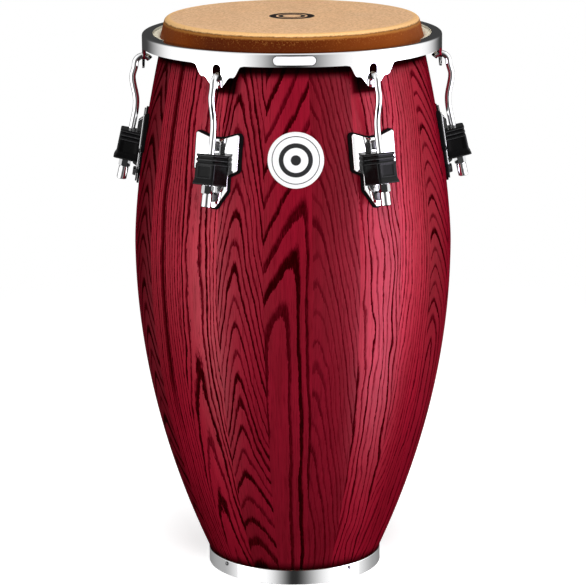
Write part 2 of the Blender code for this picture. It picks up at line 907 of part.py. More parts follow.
def backing_body():
    body = box(
        (backing_face - backing_thickness, -backing_half_width, backing_low),
        (backing_face, backing_half_width, backing_high),
    )
    steps = []
    nut_start = -backing_face + backing_thickness / 2
    for height in bolt_heights.values():
        weld_nut = prism(polygon(weld_nut_radius, 6), nut_start, bolt_reach, bolt_frame(height))
        weld_nut.transform(plate_inverse)
        steps.append((weld_nut, "UNION"))
    for height in bolt_heights.values():
        drill = bolt_drill(height, bolt_reach + overrun, -backing_face - touch_gap)
        drill.transform(plate_inverse)
        steps.append((drill, "DIFFERENCE"))
    return worked(body, steps)


backing_mesh = backing_body()

for number in range(stations):
    label = number + 1
    station = empty(f"station_{label}", place=Matrix.Rotation(station_turn(number), 4, "Z"))
    on_plate = empty(f"plate_place_{label}", station, plate_frame)
    on_rod = empty(f"rod_axis_{label}", station, rod_frame)
    node(f"gasket_{label}", gasket_mesh, black_rubber, on_plate)
    node(f"side_plate_{label}", plate_mesh, chrome, on_plate)
    node(f"isolator_block_{label}", block_mesh, black_nylon, on_rod)
    node(f"tuning_lug_{label}", lug_mesh, chrome, on_rod)
    node(f"tuning_nut_{label}", nut_mesh, chrome, on_rod)
    node(f"backing_plate_{label}", backing_mesh, steel, on_plate)
    for level, height in bolt_heights.items():
        node(f"{level}_bolt_{label}", bolt_mesh, steel, station, bolt_frame(height))


# Badge: a disc curved to the shell

def badge_mesh_made():
    rings, spokes = 2, 22
    layers = []
    for stand_off in (touch_gap, touch_gap + badge_thickness):
        layer = [(0.0, 0.0, stand_off)]
        for ring in range(1, rings + 1):
            reach = badge_radius * ring / rings
            layer += [(x, y, stand_off) for x, y in polygon(reach, spokes)]
        layers.append(layer)
    points = [badge_point(*place) for layer in layers for place in layer]
    count = len(layers[0])
    faces = []
    for layer in range(2):
        base = layer * count
        for i in range(spokes):
            j = (i + 1) % spokes
            faces.append([base, base + 1 + i, base + 1 + j])
            for ring in range(rings - 1):
                inner, outer = base + 1 + ring * spokes, base + 1 + (ring + 1) * spokes
                faces.append([inner + i, outer + i, outer + j, inner + j])
    rim_start = 1 + (rings - 1) * spokes
    for i in range(spokes):
        j = (i + 1) % spokes
        faces.append([rim_start + i, rim_start + j, count + rim_start + j, count + rim_start + i])
    return mesh_of(points, faces)


# A place on the badge, x across and y up from its middle, at a distance off the shell
def badge_point(x, y, stand_off):
    height = badge_height + y * cos(side_lean(badge_height))
    radius = shell_radius(height) + stand_off
    turn = -pi / 2 + asin(x / radius)
    return Vector((radius * cos(turn), radius * sin(turn), height))


node("badge", badge_mesh_made(), chrome)

print("Lug lean", round(degrees(rod_tilt), 2), "plate lean", round(degrees(plate_lean), 2))
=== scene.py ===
# Looks of the tumba: lacquered ash shell, hide head, chromed rim, lugs and side plates.
# Metres, +Z up, badge towards -Y. Every piece is a surface worked out on a grid of points.

import json
from math import acos, asin, atan, atan2, cos, hypot, pi, radians, sin, sqrt, tan

import bmesh
import bpy
import numpy as np
from mathutils import Matrix, Vector


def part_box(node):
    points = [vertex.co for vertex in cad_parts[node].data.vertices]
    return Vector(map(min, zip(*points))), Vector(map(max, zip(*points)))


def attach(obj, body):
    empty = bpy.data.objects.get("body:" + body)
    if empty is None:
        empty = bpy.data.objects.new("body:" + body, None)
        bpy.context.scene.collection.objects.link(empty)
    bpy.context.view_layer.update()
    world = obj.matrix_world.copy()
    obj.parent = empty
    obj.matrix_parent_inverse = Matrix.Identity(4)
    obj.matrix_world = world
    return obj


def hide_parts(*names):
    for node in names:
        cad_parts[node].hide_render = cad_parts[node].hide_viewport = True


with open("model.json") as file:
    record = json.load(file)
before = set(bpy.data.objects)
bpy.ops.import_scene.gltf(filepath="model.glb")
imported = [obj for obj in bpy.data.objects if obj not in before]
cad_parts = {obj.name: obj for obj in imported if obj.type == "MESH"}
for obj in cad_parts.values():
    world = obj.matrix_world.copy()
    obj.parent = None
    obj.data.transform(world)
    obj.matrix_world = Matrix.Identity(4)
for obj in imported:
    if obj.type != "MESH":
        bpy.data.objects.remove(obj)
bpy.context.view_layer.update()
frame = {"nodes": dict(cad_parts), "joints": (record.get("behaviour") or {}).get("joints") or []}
nodes = frame["nodes"]
stationCount = 6
touchGap = 0.0003  # between pieces that bear on each other
print("frame loaded")


# Node helpers: new nodes go into the current tree, and arithmetic on an output adds a Math node

current = {}  # its "tree" is that of the material or world in the making


class Output:
    def __init__(self, socket):
        self.socket = socket

    def __add__(self, other):
        return calc("ADD", self, other)

    def __sub__(self, other):
        return calc("SUBTRACT", self, other)

    def __rsub__(self, other):
        return calc("SUBTRACT", other, self)

    def __mul__(self, other):
        return calc("MULTIPLY", self, other)

    def __lt__(self, other):
        return calc("LESS_THAN", self, other)

    def __gt__(self, other):
        return calc("GREATER_THAN", self, other)

    def __abs__(self):
        return calc("ABSOLUTE", self)


# Each input is linked to an output or set to a value; colours are written without their alpha
def feed(node, inputs):
    for key, value in inputs.items():
        socket = node.inputs[key]
        if isinstance(value, Output):
            current["tree"].links.new(value.socket, socket)
        else:
            socket.default_value = (*value, 1) if socket.type == "RGBA" else value


def addNode(kind, output=0, inputs=None, **settings):
    node = current["tree"].nodes.new("ShaderNode" + kind)
    for key, value in settings.items():
        setattr(node, key, value)
    feed(node, inputs or {})
    return Output(node.outputs[output])


def calc(operation, *values):
    return addNode("Math", 0, dict(enumerate(values)), operation=operation)


def larger(first, second):
    return calc("MAXIMUM", first, second)


def distanceOf(x, y):
    return calc("SQRT", x * x + y * y)


# Smooth step from 0 to 1 while the value goes from low to high
def stepUp(value, low, high):
    inputs = {"Value": value, "From Min": low, "From Max": high}
    return addNode("MapRange", "Result", inputs, interpolation_type="SMOOTHSTEP")


def stepDown(value, low, high):
    return 1 - stepUp(value, low, high)


def mixColour(share, first, second, blend="MIX"):
    return addNode("Mix", 2, {0: share, 6: first, 7: second}, data_type="RGBA", blend_type=blend)


def joinVector(x, y, z):
    return addNode("CombineXYZ", 0, {"X": x, "Y": y, "Z": z})


def splitVector(vector):
    return [Output(socket) for socket in addNode("SeparateXYZ", 0, {0: vector}).socket.node.outputs]


def noiseOf(vector, scale, detail=2.0, roughness=0.5):
    inputs = {"Vector": vector, "Scale": scale, "Detail": detail, "Roughness": roughness}
    return addNode("TexNoise", "Fac", inputs)


def bumpOf(height, distance, strength):
    return addNode("Bump", "Normal", {"Height": height, "Distance": distance, "Strength": strength})


def attributeOf(name, output="Vector"):
    return addNode("Attribute", output, attribute_name=name)


def objectPlace():
    return addNode("TexCoord", "Object")


# A recipe adds its nodes and returns what goes into the shader's inputs
def newMaterial(name, recipe, **values):
    material = bpy.data.materials.new(name)
    material.use_nodes = True
    current["tree"] = material.node_tree
    feed(material.node_tree.nodes["Principled BSDF"], recipe(**values))
    return material


# Mesh helpers

# Arrays or numbers side by side, such as the coordinates of points
def joined(*parts):
    return np.stack(np.broadcast_arrays(*parts), axis=-1)


def placeObject(name, data):
    item = bpy.data.objects.new(name, data)
    bpy.context.scene.collection.objects.link(item)
    return item


# Four corners of each cell of a grid of points, row after row
def gridQuads(rows, columns, closeRows=False, closeColumns=True):
    rowCount = rows if closeRows else rows - 1
    columnCount = columns if closeColumns else columns - 1
    r, c = np.meshgrid(np.arange(rowCount), np.arange(columnCount), indexing="ij")
    r2, c2 = (r + 1) % rows, (c + 1) % columns
    return joined(r * columns + c, r * columns + c2, r2 * columns + c2, r2 * columns + c).reshape(-1, 4)


# Doubled points merged and faces turned outwards
def weldMesh(mesh):
    work = bmesh.new()
    work.from_mesh(mesh)
    bmesh.ops.remove_doubles(work, verts=work.verts, dist=0.000002)
    bmesh.ops.recalc_face_normals(work, faces=work.faces)
    work.to_mesh(mesh)
    work.free()


# A mesh object of a grid of points, whose columns run round it, or of points with quads of
# their own; closed joins the last row to the first
def makePiece(name, points, material, body, replaced, sharp=35, closed=False, weld=True,
              quads=None):
    if quads is None:
        quads = gridQuads(*points.shape[:2], closeRows=closed)
    mesh = bpy.data.meshes.new(name)
    mesh.from_pydata(points.reshape(-1, 3).tolist(), [], quads.tolist())
    if weld:
        weldMesh(mesh)
    mesh.materials.append(material)
    mesh.shade_smooth()
    mesh.set_sharp_from_angle(angle=radians(sharp))
    piece = placeObject(name, mesh)
    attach(piece, body)
    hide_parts(*replaced)
    return piece


# One number or, as FLOAT_VECTOR, three for each point or face
def addAttribute(mesh, name, kind, domain, values):
    attribute = mesh.attributes.new(name, kind, domain)
    field = "value" if kind == "FLOAT" else "vector"
    attribute.data.foreach_set(field, values.astype(np.float32).ravel())


def addUv(mesh, name, uv):
    mesh.uv_layers.new(name=name).data.foreach_set("uv", uv.astype(np.float32).ravel())


# A CAD node that stays gets another finish
def refinish(name, material):
    nodes[name].data.materials.clear()
    nodes[name].data.materials.append(material)


def evenTurns(count):
    return 2 * pi * np.arange(count) / count


# Points at angles round Z: radius times the cosine and the sine, beside a height
def onCircle(radius, turn, height):
    return joined(radius * np.cos(turn), radius * np.sin(turn), height)


# A profile of (radius, height) turned round Z
def turned(profile, columns):
    profile = np.asarray(profile, float)
    return onCircle(profile[:, :1], evenTurns(columns), profile[:, 1:2])


def smooth(share):
    share = np.clip(share, 0, 1)
    return share * share * (3 - 2 * share)


# Smooth step from 0 to 1 on the way from one value to another, which may be the lower one
def smoothFrom(value, start, end):
    return smooth((value - start) / (end - start))


# Shares from 0 to 1 in even steps without the two ends, as a column
def sharesBetween(steps):
    return np.linspace(0, 1, steps + 1)[1:-1, None]


# Points of an arc about (x, y), from one angle to another
def arc(x, y, radius, start, end, steps):
    turn = np.linspace(start, end, steps + 1)
    return joined(x + radius * np.cos(turn), y + radius * np.sin(turn))


# An outline with each corner replaced by an arc of its radius, and each straight run cut in steps
def roundedOutline(corners, radii, arcSteps=4, runSteps=3):
    count = len(corners)
    pieces = []
    for i in range(count):
        here, before, after = (np.array(corners[j % count], float) for j in (i, i - 1, i + 1))
        runIn = (before - here) / np.linalg.norm(before - here)
        runOut = (after - here) / np.linalg.norm(after - here)
        half = acos(np.clip(runIn @ runOut, -1, 1)) / 2
        reach = radii[i] / tan(half)
        middle = (runIn + runOut) / np.linalg.norm(runIn + runOut)
        centre = here + middle * radii[i] / sin(half)
        first, last = here + runIn * reach - centre, here + runOut * reach - centre
        start, end = atan2(first[1], first[0]), atan2(last[1], last[0])
        end = start + (end - start + pi) % (2 * pi) - pi
        pieces.append(arc(centre[0], centre[1], radii[i], start, end, arcSteps))
    outline = []
    share = sharesBetween(runSteps)
    for piece, following in zip(pieces, pieces[1:] + pieces[:1]):
        outline += [piece, piece[-1] * (1 - share) + following[0] * share]
    return np.concatenate(outline)


# The outline moved inwards by a distance, along the bisectors of its runs
def insetOutline(outline, distance):
    runs = np.roll(outline, -1, axis=0) - outline
    runs /= np.maximum(np.linalg.norm(runs, axis=1, keepdims=True), 1e-9)
    sides = joined(-runs[:, 1], runs[:, 0])
    bisectors = sides + np.roll(sides, 1, axis=0)
    bisectors /= np.maximum(np.linalg.norm(bisectors, axis=1, keepdims=True), 1e-9)
    lengthen = 1 / np.maximum(0.4, np.sum(bisectors * sides, axis=1, keepdims=True))
    following = np.roll(outline, -1, axis=0)
    area = np.sum(outline[:, 0] * following[:, 1] - outline[:, 1] * following[:, 0])
    return outline + bisectors * lengthen * distance * np.sign(area)


# The outline moved in by a distance, then drawn to a share of its size about a centre
def drawnIn(outline, centre, share, inset):
    return centre + (insetOutline(outline, inset) - centre) * share


# Stations: each one's azimuth, and the rod's axis, come from its nut's joint

def nutJoint(number):
    return next(joint for joint in frame["joints"] if joint["name"] == f"nut_{number}_turn")


def stationTurn(number):
    place = nutJoint(number)["pos_m"]
    return atan2(place[1], place[0])


rodFoot = nutJoint(1)["pos_m"]
rodFootRadius = hypot(rodFoot[0], rodFoot[1])
rodFootHeight = rodFoot[2]
rodTilt = acos(-nutJoint(1)["axis"][2])


# A leaning frame's points (x out, y across, z up along it) in the station's own frame
def leaning(points, radius, height, lean):
    x, y, z = np.moveaxis(np.asarray(points, float), -1, 0)
    across = radius + x * cos(lean) - z * sin(lean)
    return joined(across, y, height + x * sin(lean) + z * cos(lean))


def fromRod(points):
    return leaning(points, rodFootRadius, rodFootHeight, rodTilt)


# Points turned about Z by an angle
def turnedBy(points, turn):
    x, y, z = np.moveaxis(points, -1, 0)
    return joined(x * cos(turn) - y * sin(turn), x * sin(turn) + y * cos(turn), z)


# The same piece at every station, with the station's number for {} in its names
def makeAtStations(name, rings, material, body, replaced, sharp, closed=False, weld=True):
    pieces = []
    for number in range(1, stationCount + 1):
        points = turnedBy(rings, stationTurn(number))
        replacedNames = [each.format(number) for each in replaced]
        pieces.append(makePiece(name.format(number), points, material, body.format(number),
                                replacedNames, sharp, closed, weld))
    return pieces


# Materials

ashLook = {
    "light": (0.37, 0.0050, 0.027), "deep": (0.170, 0.0016, 0.0085), "line": (0.023, 0.0001, 0.0006),
    # shade is the near black of the painted shade under the rim, behind the ears and above the foot band
    "shade": (0.002, 0.0006, 0.0006), "metallic": 0.28, "edgeTint": 0.2, "roughness": 0.42,
    "coat": 0.060, "coatRoughness": 0.30, "coatIndex": 3.5,
    # noises: scale across a stave and up it, detail, roughness
    "slow": (22, 7, 2, 0.5), "quick": (110, 24, 3, 0.6), "jag": (800, 130, 2, 0.7),
    "pores": (1500, 75, 2, 0.6), "late": (1100, 34, 2, 0.6), "cloud": (16, 4, 3, 0.5),
    "fibre": (520, 9, 3, 0.65),
    "sway": 0.022, "quickReach": 0.0034, "jagReach": 0.0022, "holdBlend": 0.05, "openLength": 0.16,
}


# Ash cut into staves. Across a stave is u, up it is v. The rings are cones round a pith that
# lies a depth behind the face: ring = (sqrt((slope * (u - centre))^2 + depth^2) + taper * v) / step,
# with a slope for each side of the centre and v held between two heights. A board cut near
# the pith shows nested arches and one cut far from it straight lines.
def ashRecipe():
    look = ashLook
    u, v, _ = splitVector(addNode("UVMap", uv_map="staveUv"))
    centre, depth, lean = splitVector(attributeOf("staveCut"))
    perStep, taper, contrast = splitVector(attributeOf("staveGrain"))
    toneAndPaintedLight, seed, wildness = splitVector(attributeOf("staveTone"))
    leftSlope, rightSlope, offset = splitVector(attributeOf("staveSides"))
    low, high, thick = splitVector(attributeOf("staveReach"))
    opening, openTop, streakAt = splitVector(attributeOf("staveOpen"))
    # painted shade under the rim, behind the ears and above the foot band
    shade = attributeOf("paintedShade", "Fac")

    def grainNoise(name):
        scaleAcross, scaleUp, detail, roughness = look[name]
        return noiseOf(joinVector(u * scaleAcross, v * scaleUp, seed * 7.31), 1, detail, roughness)

    sway = (grainNoise("slow") - 0.5) * (wildness * look["sway"])
    held = calc("SMOOTH_MIN", v, high, look["holdBlend"])
    held = calc("SMOOTH_MAX", held, low, look["holdBlend"])
    across = u + sway - (lean * held + centre)
    slope = mixColour(across > 0.0, leftSlope, rightSlope)
    opened = stepDown(v, openTop - look["openLength"], openTop)
    across = across * (slope * (1 - opened * opening))
    reach = taper * held + distanceOf(across, depth)
    reach = (grainNoise("quick") - 0.5) * look["quickReach"] + reach
    reach = (grainNoise("jag") - 0.5) * look["jagReach"] + reach
    ring = reach * perStep + offset
    # early wood is dark from a ring's start on, each ring by chance and every second one less
    phase = calc("FRACT", ring)
    number = calc("FLOOR", ring)
    chance = addNode("TexWhiteNoise", "Value", {"Vector": joinVector(number, seed, 0.5)})
    second = calc("FRACT", number * 0.5)
    width = (chance * 0.30 + 0.34) * thick
    pores = stepUp(grainNoise("pores"), 0.34, 0.56)
    early = stepUp(phase, 0.0, 0.06) * stepDown(phase, width * 0.45, width) * (pores * 0.40 + 0.66)
    strength = second * -0.55 + (chance * 0.30 + 0.85)
    late = stepUp(grainNoise("late"), 0.50, 0.68) * 0.30
    dark = calc("MINIMUM", 1.0, larger(early * strength * contrast, late))
    # a broad dark streak from one ring on, and not at the foot
    fromStreak = ring - streakAt
    streak = stepUp(fromStreak, 0.0, 0.12) * stepDown(fromStreak, 0.8, 2.2)
    streak = streak * stepUp(v, 0.20, 0.30) * (pores * 0.15 + 0.82)
    dark = larger(dark, streak)
    cloud = stepUp(grainNoise("cloud"), 0.30, 0.72)
    body = mixColour(grainNoise("fibre") * 0.9 + (cloud * 0.40 - 0.15), look["deep"], look["light"])
    # the stave's brightness is its own tone and, on the front staves, partly painted light
    body = mixColour(1.0, body, joinVector(toneAndPaintedLight, toneAndPaintedLight, toneAndPaintedLight), "MULTIPLY")
    colour = mixColour(shade, mixColour(dark, body, look["line"]), look["shade"])
    dark = larger(dark, shade)
    facing = addNode("LayerWeight", "Facing", {"Blend": 0.5})
    lacquer = larger(0.0, dark * -1.3 + 1.0) * (1 - stepUp(facing, 0.60, 0.88) * 0.85)
    return {
        "Base Color": colour, "Metallic": look["metallic"], "Roughness": look["roughness"],
        "Specular IOR Level": 0.0, "Specular Tint": (look["edgeTint"],) * 3,
        "Coat Weight": lacquer * look["coat"], "Coat Roughness": look["coatRoughness"],
        "Coat IOR": look["coatIndex"], "Normal": bumpOf(1 - dark, 0.00018, 0.7),
    }


def bareAshRecipe():
    x, y, z = splitVector(objectPlace())
    grainLine = stepUp(noiseOf(joinVector(x * 90, y * 90, z * 6), 1, 4, 0.6), 0.40, 0.66)
    colour = mixColour(grainLine, (0.60, 0.42, 0.25), (0.42, 0.26, 0.13))
    return {"Base Color": colour, "Roughness": 0.62, "Normal": bumpOf(grainLine, 0.0002, 0.5)}


sheetChrome = {"waviness": 0.10, "roughness": 0.035, "edgeTint": 0.6}
rodChrome = {"waviness": 0.05, "roughness": 0.05, "edgeTint": 0.0}


# Chrome: a mirror with the faint waviness of a pressed and buffed sheet
def chromeRecipe(waviness, roughness, edgeTint):
    place = objectPlace()
    return {
        "Base Color": (0.90, 0.90, 0.905), "Metallic": 1.0, "Specular Tint": (edgeTint,) * 3,
        "Roughness": noiseOf(place, 60, 3) * 0.03 + roughness,
        "Normal": bumpOf(noiseOf(place, 22, 1), 0.001, waviness),
    }


# Zinc-plated steel in grey patches
def steelRecipe():
    place = objectPlace()
    patches = addNode("TexVoronoi", "Color", {"Vector": place, "Scale": 260.0})
    shade = splitVector(patches)[0] * 0.06 + 0.17
    return {"Base Color": joinVector(shade, shade, shade * 1.02), "Metallic": 1.0,
            "Roughness": noiseOf(place, 120) * 0.2 + 0.28}


nylonLook = {
    "deep": (0.0010, 0.0010, 0.0011), "worn": (0.0030, 0.0030, 0.0032), "paintedHighlight": (0.060, 0.060, 0.062),
    # heights and strengths of the painted highlights on the lips, and of the one round the front panel
    "lips": ((0.0353, 0.9), (0.0303, 1.0), (0.0250, 0.7), (0.0012, 0.5)), "lipWidth": 0.0009,
    "frameHalf": 0.0092, "frameMiddle": 0.0155, "frameHalfHeight": 0.0072, "frameWidth": 0.0008,
    "frontFrom": 0.011, "frameStrength": 0.5,
}


# Moulded nylon: near black, satin, with the fine pebble of the tool. The lips between the
# grooves and the edge of the shallow panel carry painted highlights in patchy grey; blockPlace is
# outward, across, along.
def nylonRecipe():
    look = nylonLook
    place = objectPlace()
    colour = mixColour(noiseOf(place, 90, 3), look["deep"], look["worn"])
    out, across, along = splitVector(attributeOf("blockPlace"))
    # painted highlights: grey along the groove lips and round the front panel, broken up by noise
    paintedHighlight = 0.0
    for height, strength in look["lips"]:
        paintedHighlight = larger(paintedHighlight, stepDown(abs(along - height), 0.0, look["lipWidth"]) * strength)
    beside = abs(across) - look["frameHalf"]
    above = abs(along - look["frameMiddle"]) - look["frameHalfHeight"]
    border = stepDown(abs(larger(beside, above)), 0.0, look["frameWidth"]) * (out > look["frontFrom"])
    paintedHighlight = larger(paintedHighlight, border * look["frameStrength"]) * (noiseOf(place, 420, 2) * 1.2 + 0.1)
    return {
        "Base Color": mixColour(paintedHighlight, colour, look["paintedHighlight"]), "Roughness": 0.26,
        "Specular IOR Level": 0.13, "Normal": bumpOf(noiseOf(place, 1900, 2), 0.00006, 0.6),
    }


def rubberRecipe():
    place = objectPlace()
    colour = mixColour(noiseOf(place, 150, 4), (0.002, 0.002, 0.0022), (0.006, 0.0055, 0.006))
    return {"Base Color": colour, "Roughness": 0.58, "Specular IOR Level": 0.03,
            "Normal": bumpOf(noiseOf(place, 1200, 2), 0.00008, 0.7)}


hideLook = {
    "top": (1.0, 0.62, 0.34), "pale": (0.86, 0.57, 0.36), "stain": (0.66, 0.36, 0.17),
    # the edge colour is a painted highlight along the bearing edge, and the crease colour painted shade
    "edge": (0.97, 0.58, 0.25), "crease": (0.085, 0.026, 0.004), "ridge": (0.50, 0.21, 0.045),
    # the collar's left and right colours are painted light over its brown middle
    "collarLitLeft": (0.205, 0.038, 0.0008), "collarMiddle": (0.082, 0.0125, 0.0025),
    "collarLitRight": (0.25, 0.056, 0.0060), "speckle": (0.55, 0.24, 0.05),
    "flesh": (0.95, 0.91, 0.72), "print": (0.012, 0.009, 0.008),
    "printRadius": 0.0285, "printRing": 0.0185, "printRingWidth": 0.0012, "printCentre": 0.0115,
    "wander": 0.0022, "litLeftFrom": (-0.142, -0.100), "litRightFrom": (-0.01, 0.15), "fleshBelow": -0.02,
    # where each zone fades in or out, from the edge or the crease on
    "edgeHighlightFade": (-0.0045, 0.001), "creaseFade": (0.0002, 0.0014), "collarFade": (-0.0002, 0.0004),
    "ridgeFade": (0.0012, 0.0048), "specklesFrom": -0.003, "specklesFade": (0.002, 0.014),
}


# Rawhide, coloured by the distance along it from the centre: pale top, a golden painted highlight
# along the bearing edge, painted shade in the crease, a speckled ridge and the brown collar, with
# painted light that makes it lighter to the left and the right; the flesh side, which shows where
# the lap comes up behind the rim, is cream. The print is a plain disc with one ring left bare.
def hideRecipe(edge, crease):
    look = hideLook

    def zone(start, name):
        low, high = look[name]
        return stepUp(along, start + low, start + high)

    place = objectPlace()
    x, y, _ = splitVector(place)
    along = (noiseOf(place, 120, 3) - 0.5) * look["wander"] + attributeOf("along", "Fac")
    mottle = stepUp(noiseOf(place, 9, 5, 0.6), 0.32, 0.70)
    fleck = stepUp(noiseOf(place, 560, 3, 0.7), 0.56, 0.68)
    stain = stepUp(noiseOf(joinVector(x * 26, y * 9, 0.3), 1, 4, 0.6), 0.35, 0.75)
    grain = noiseOf(place, 300, 3, 0.7)
    top = mixColour(mottle * 0.5, look["top"], look["pale"])
    top = mixColour(stain * 0.18, top, look["stain"])
    top = mixColour(stepUp(grain, 0.44, 0.60) * 0.66, top, look["stain"])
    # painted highlight: bright gold over the bearing edge
    colour = mixColour(zone(edge, "edgeHighlightFade"), top, look["edge"])
    # painted light: the collar lighter to the left and the right than in its middle
    collar = mixColour(stepDown(x, *look["litLeftFrom"]), look["collarMiddle"], look["collarLitLeft"])
    litRightAndMottle = calc("MINIMUM", mottle * 0.16 + stepUp(x, *look["litRightFrom"]), 1)
    collar = mixColour(litRightAndMottle, collar, look["collarLitRight"])
    collar = mixColour(zone(crease, "ridgeFade") * 0.75 + 0.25, look["ridge"], collar)
    colour = mixColour(zone(crease, "collarFade"), colour, collar)
    # painted shade: a dark line along the crease
    creaseShade = stepDown(abs(along - crease), *look["creaseFade"])
    colour = mixColour(creaseShade * (grain * -1.2 + 1.25), colour, look["crease"])
    onCollar = stepUp(along, edge + look["specklesFrom"], crease)
    fade = 1 - zone(crease, "specklesFade")
    colour = mixColour(fleck * onCollar * (fade * 0.55 + 0.14), colour, look["speckle"])
    flesh = mixColour(fleck * 0.75, look["flesh"], look["stain"])
    colour = mixColour(along < look["fleshBelow"], colour, flesh)
    out = distanceOf(x, y)
    bare = larger(abs(out - look["printRing"]) < look["printRingWidth"], out < look["printCentre"])
    printed = (out < look["printRadius"]) * (1 - bare) * (along > 0.0)
    skin = noiseOf(place, 520, 4, 0.65) * 0.6 + mottle * 0.4
    return {
        "Base Color": mixColour(printed, colour, look["print"]), "Roughness": 0.48,
        "Specular IOR Level": 0.05, "Normal": bumpOf(skin, 0.00022, 0.7),
    }


badgeLook = {"ringOuter": 0.0205, "ringInner": 0.0150, "spot": 0.0062, "line": 0.0285, "lineWidth": 0.0005}


# Satin aluminium with a plain ring and spot, by distance from the badge's middle
def badgeRecipe():
    look = badgeLook
    u, v, _ = splitVector(addNode("UVMap", uv_map="faceUv"))
    out = distanceOf(u, v)
    inRing = (out < look["ringOuter"]) * (out > look["ringInner"])
    line = abs(out - look["line"]) < look["lineWidth"]
    ink = larger(larger(inRing, out < look["spot"]), line)
    brushed = noiseOf(joinVector(u * 60, v * 2400, 0.0), 1, 2)
    silver = mixColour(brushed, (0.95, 0.95, 0.95), (1.0, 1.0, 1.0))
    return {"Base Color": mixColour(ink, silver, (0.015, 0.015, 0.016)),
            "Metallic": (1 - ink) * 0.20, "Roughness": brushed * 0.12 + 0.34}


ash = newMaterial("redAsh", ashRecipe)
bareAsh = newMaterial("bareAsh", bareAshRecipe)
chrome = newMaterial("chrome", chromeRecipe, **sheetChrome)
chromeRod = newMaterial("chromeRod", chromeRecipe, **rodChrome)
steel = newMaterial("zincSteel", steelRecipe)
nylon = newMaterial("blackNylon", nylonRecipe)
rubber = newMaterial("blackRubber", rubberRecipe)
badgeFace = newMaterial("satinBadge", badgeRecipe)
print("materials made")


# Shell, and the foot band's sizes, because the shell is cut back for it

bandShape = {"outer": 0.1113, "thickness": 0.0015, "height": 0.0185, "edge": 0.0005, "columns": 192}
shellShape = {
    "top": 0.7085, "edgeRadius": 0.004, "bearingRadius": 0.157,
    "bellyRadius": 0.2008, "bellyHeight": 0.425, "upperFullness": 1.55, "lowerFullness": 2.0,
    "footRadius": 0.1015, "wall": 0.012, "chamfer": 0.003, "seatRadius": 0.1095,
    # heights between which the painted shade on the lacquer fades, and how deep it is
    "shadeTop": 0.6665, "shadeFoot": 0.6560, "earShadeTop": 0.6410, "earShadeFoot": 0.6340,
    "earShadeOuter": 0.0230, "earShadeInner": 0.0130, "paintedShade": 0.97,
    "footShadeTop": 0.0330, "footShade": 0.92,
}


# Radius at a height: a power curve up from the belly and another down to the foot
def shellRadius(height):
    shape = shellShape
    above = np.clip((height - shape["bellyHeight"]) / (shape["top"] - shape["bellyHeight"]), 0, None)
    below = np.clip((shape["bellyHeight"] - height) / shape["bellyHeight"], 0, None)
    upper = (shape["bellyRadius"] - shape["bearingRadius"]) * above ** shape["upperFullness"]
    lower = (shape["bellyRadius"] - shape["footRadius"]) * below ** shape["lowerFullness"]
    return shape["bellyRadius"] - upper - lower


# The angle by which the side leans in, over the millimetre below a height
def shellLean(height):
    return atan((shellRadius(height - 0.001) - shellRadius(height)) / 0.001)


edgeHeight = shellShape["top"] - shellShape["edgeRadius"]
edgeLean = shellLean(edgeHeight)
edgeRadius = float(shellRadius(edgeHeight) - shellShape["edgeRadius"] / cos(edgeLean))

staveSet = {
    "count": 21, "columns": 10, "rows": 190, "edgeSteps": 8, "boreRows": 60, "footRows": 2,
    "firstEdge": radians(5.6), "seed": 11, "noStreak": 99.0,
}
# The front staves, by number from the one right of the badge and counting to the right:
# pith centre, depth and lean, ring step and taper, contrast, brightness, wildness, left and
# right slope, ring offset, lowest and highest place of the arches, line thickness, and how much
# the rings open out towards the foot and from what height; last, where one has it, the ring
# from which a broad dark streak runs. Their brightness is partly the wood's own tone and partly
# painted light: higher on the staves where the highlights fall, lower on the far left one.
frontStaves = {
    0: (-0.0265, 0.012, 0.00, 0.0058, 0.160, 0.62, 0.80, 0.7, 1.00, 1.00, 0.3, 0.06, 0.72, 0.9, 0, 0.3),
    1: (-0.0420, 0.012, 0.03, 0.0062, 0.030, 0.95, 1.16, 1.5, 1.00, 1.00, 0.55, 0.10, 0.72, 0.9, 0, 0.3),
    2: (0.0480, 0.008, -0.02, 0.0044, 0.050, 0.80, 1.22, 0.9, 0.90, 1.00, 0.6, 0.10, 0.72, 0.9, 0.30, 0.26),
    3: (-0.0110, 0.005, -0.015, 0.0092, 0.420, 0.95, 1.10, 0.5, 0.72, 0.72, 0.2, 0.33, 0.72, 0.9, 0, 0.3),
    -1: (-0.0755, 0.008, 0.18, 0.0105, 0.170, 1.15, 0.98, 0.6, 0.60, 1.00, 0.01, 0.36, 0.72, 1.0, 0, 0.3),
    -2: (-0.0060, 0.007, 0.00, 0.0060, 0.175, 1.10, 0.95, 0.6, 1.10, 1.00, 0.1, 0.02, 0.72, 1.0, 0.55, 0.26),
    -3: (-0.0050, 0.020, 0.00, 0.0045, 0.050, 1.15, 1.30, 0.8, 1.00, 1.00, 0.42, 0.02, 0.34, 1.1, 0, 0.3),
    -4: (0.0550, 0.010, 0.00, 0.0046, 0.003, 1.15, 1.36, 0.5, 1.0, 1.0, 0.74, 0.20, 0.60, 0.8, 0, 0.3, 12.5),
    -5: (0.0060, 0.006, 0.00, 0.0100, 0.330, 1.05, 0.66, 1.4, 0.70, 0.80, 0.4, 0.06, 0.72, 1.1, 0, 0.3),
}
# The others have the same settings, each drawn between two values or fixed at one
otherStaves = (
    (-0.03, 0.03), (0.004, 0.008), (-0.04, 0.04), (0.0036, 0.0080), (0.05, 0.3), (0.8, 1.1), (0.9, 1.12),
    (0.5, 1.2), (0.6, 1.1), (0.6, 1.1), (0, 1), (0.02, 0.3), 0.72, 1.0, (0, 0.5), (0.2, 0.4),
)


# Stave settings as an array, one row each
def staveTable():
    draw = np.random.default_rng(staveSet["seed"])
    table = []
    for number in range(staveSet["count"]):
        drawn = [draw.uniform(*each) if isinstance(each, tuple) else each for each in otherStaves]
        signed = number if number < staveSet["count"] / 2 else number - staveSet["count"]
        row = list(frontStaves.get(signed, drawn))
        table.append(row + [staveSet["noStreak"]] * (len(drawn) + 1 - len(row)))
    return np.array(table)


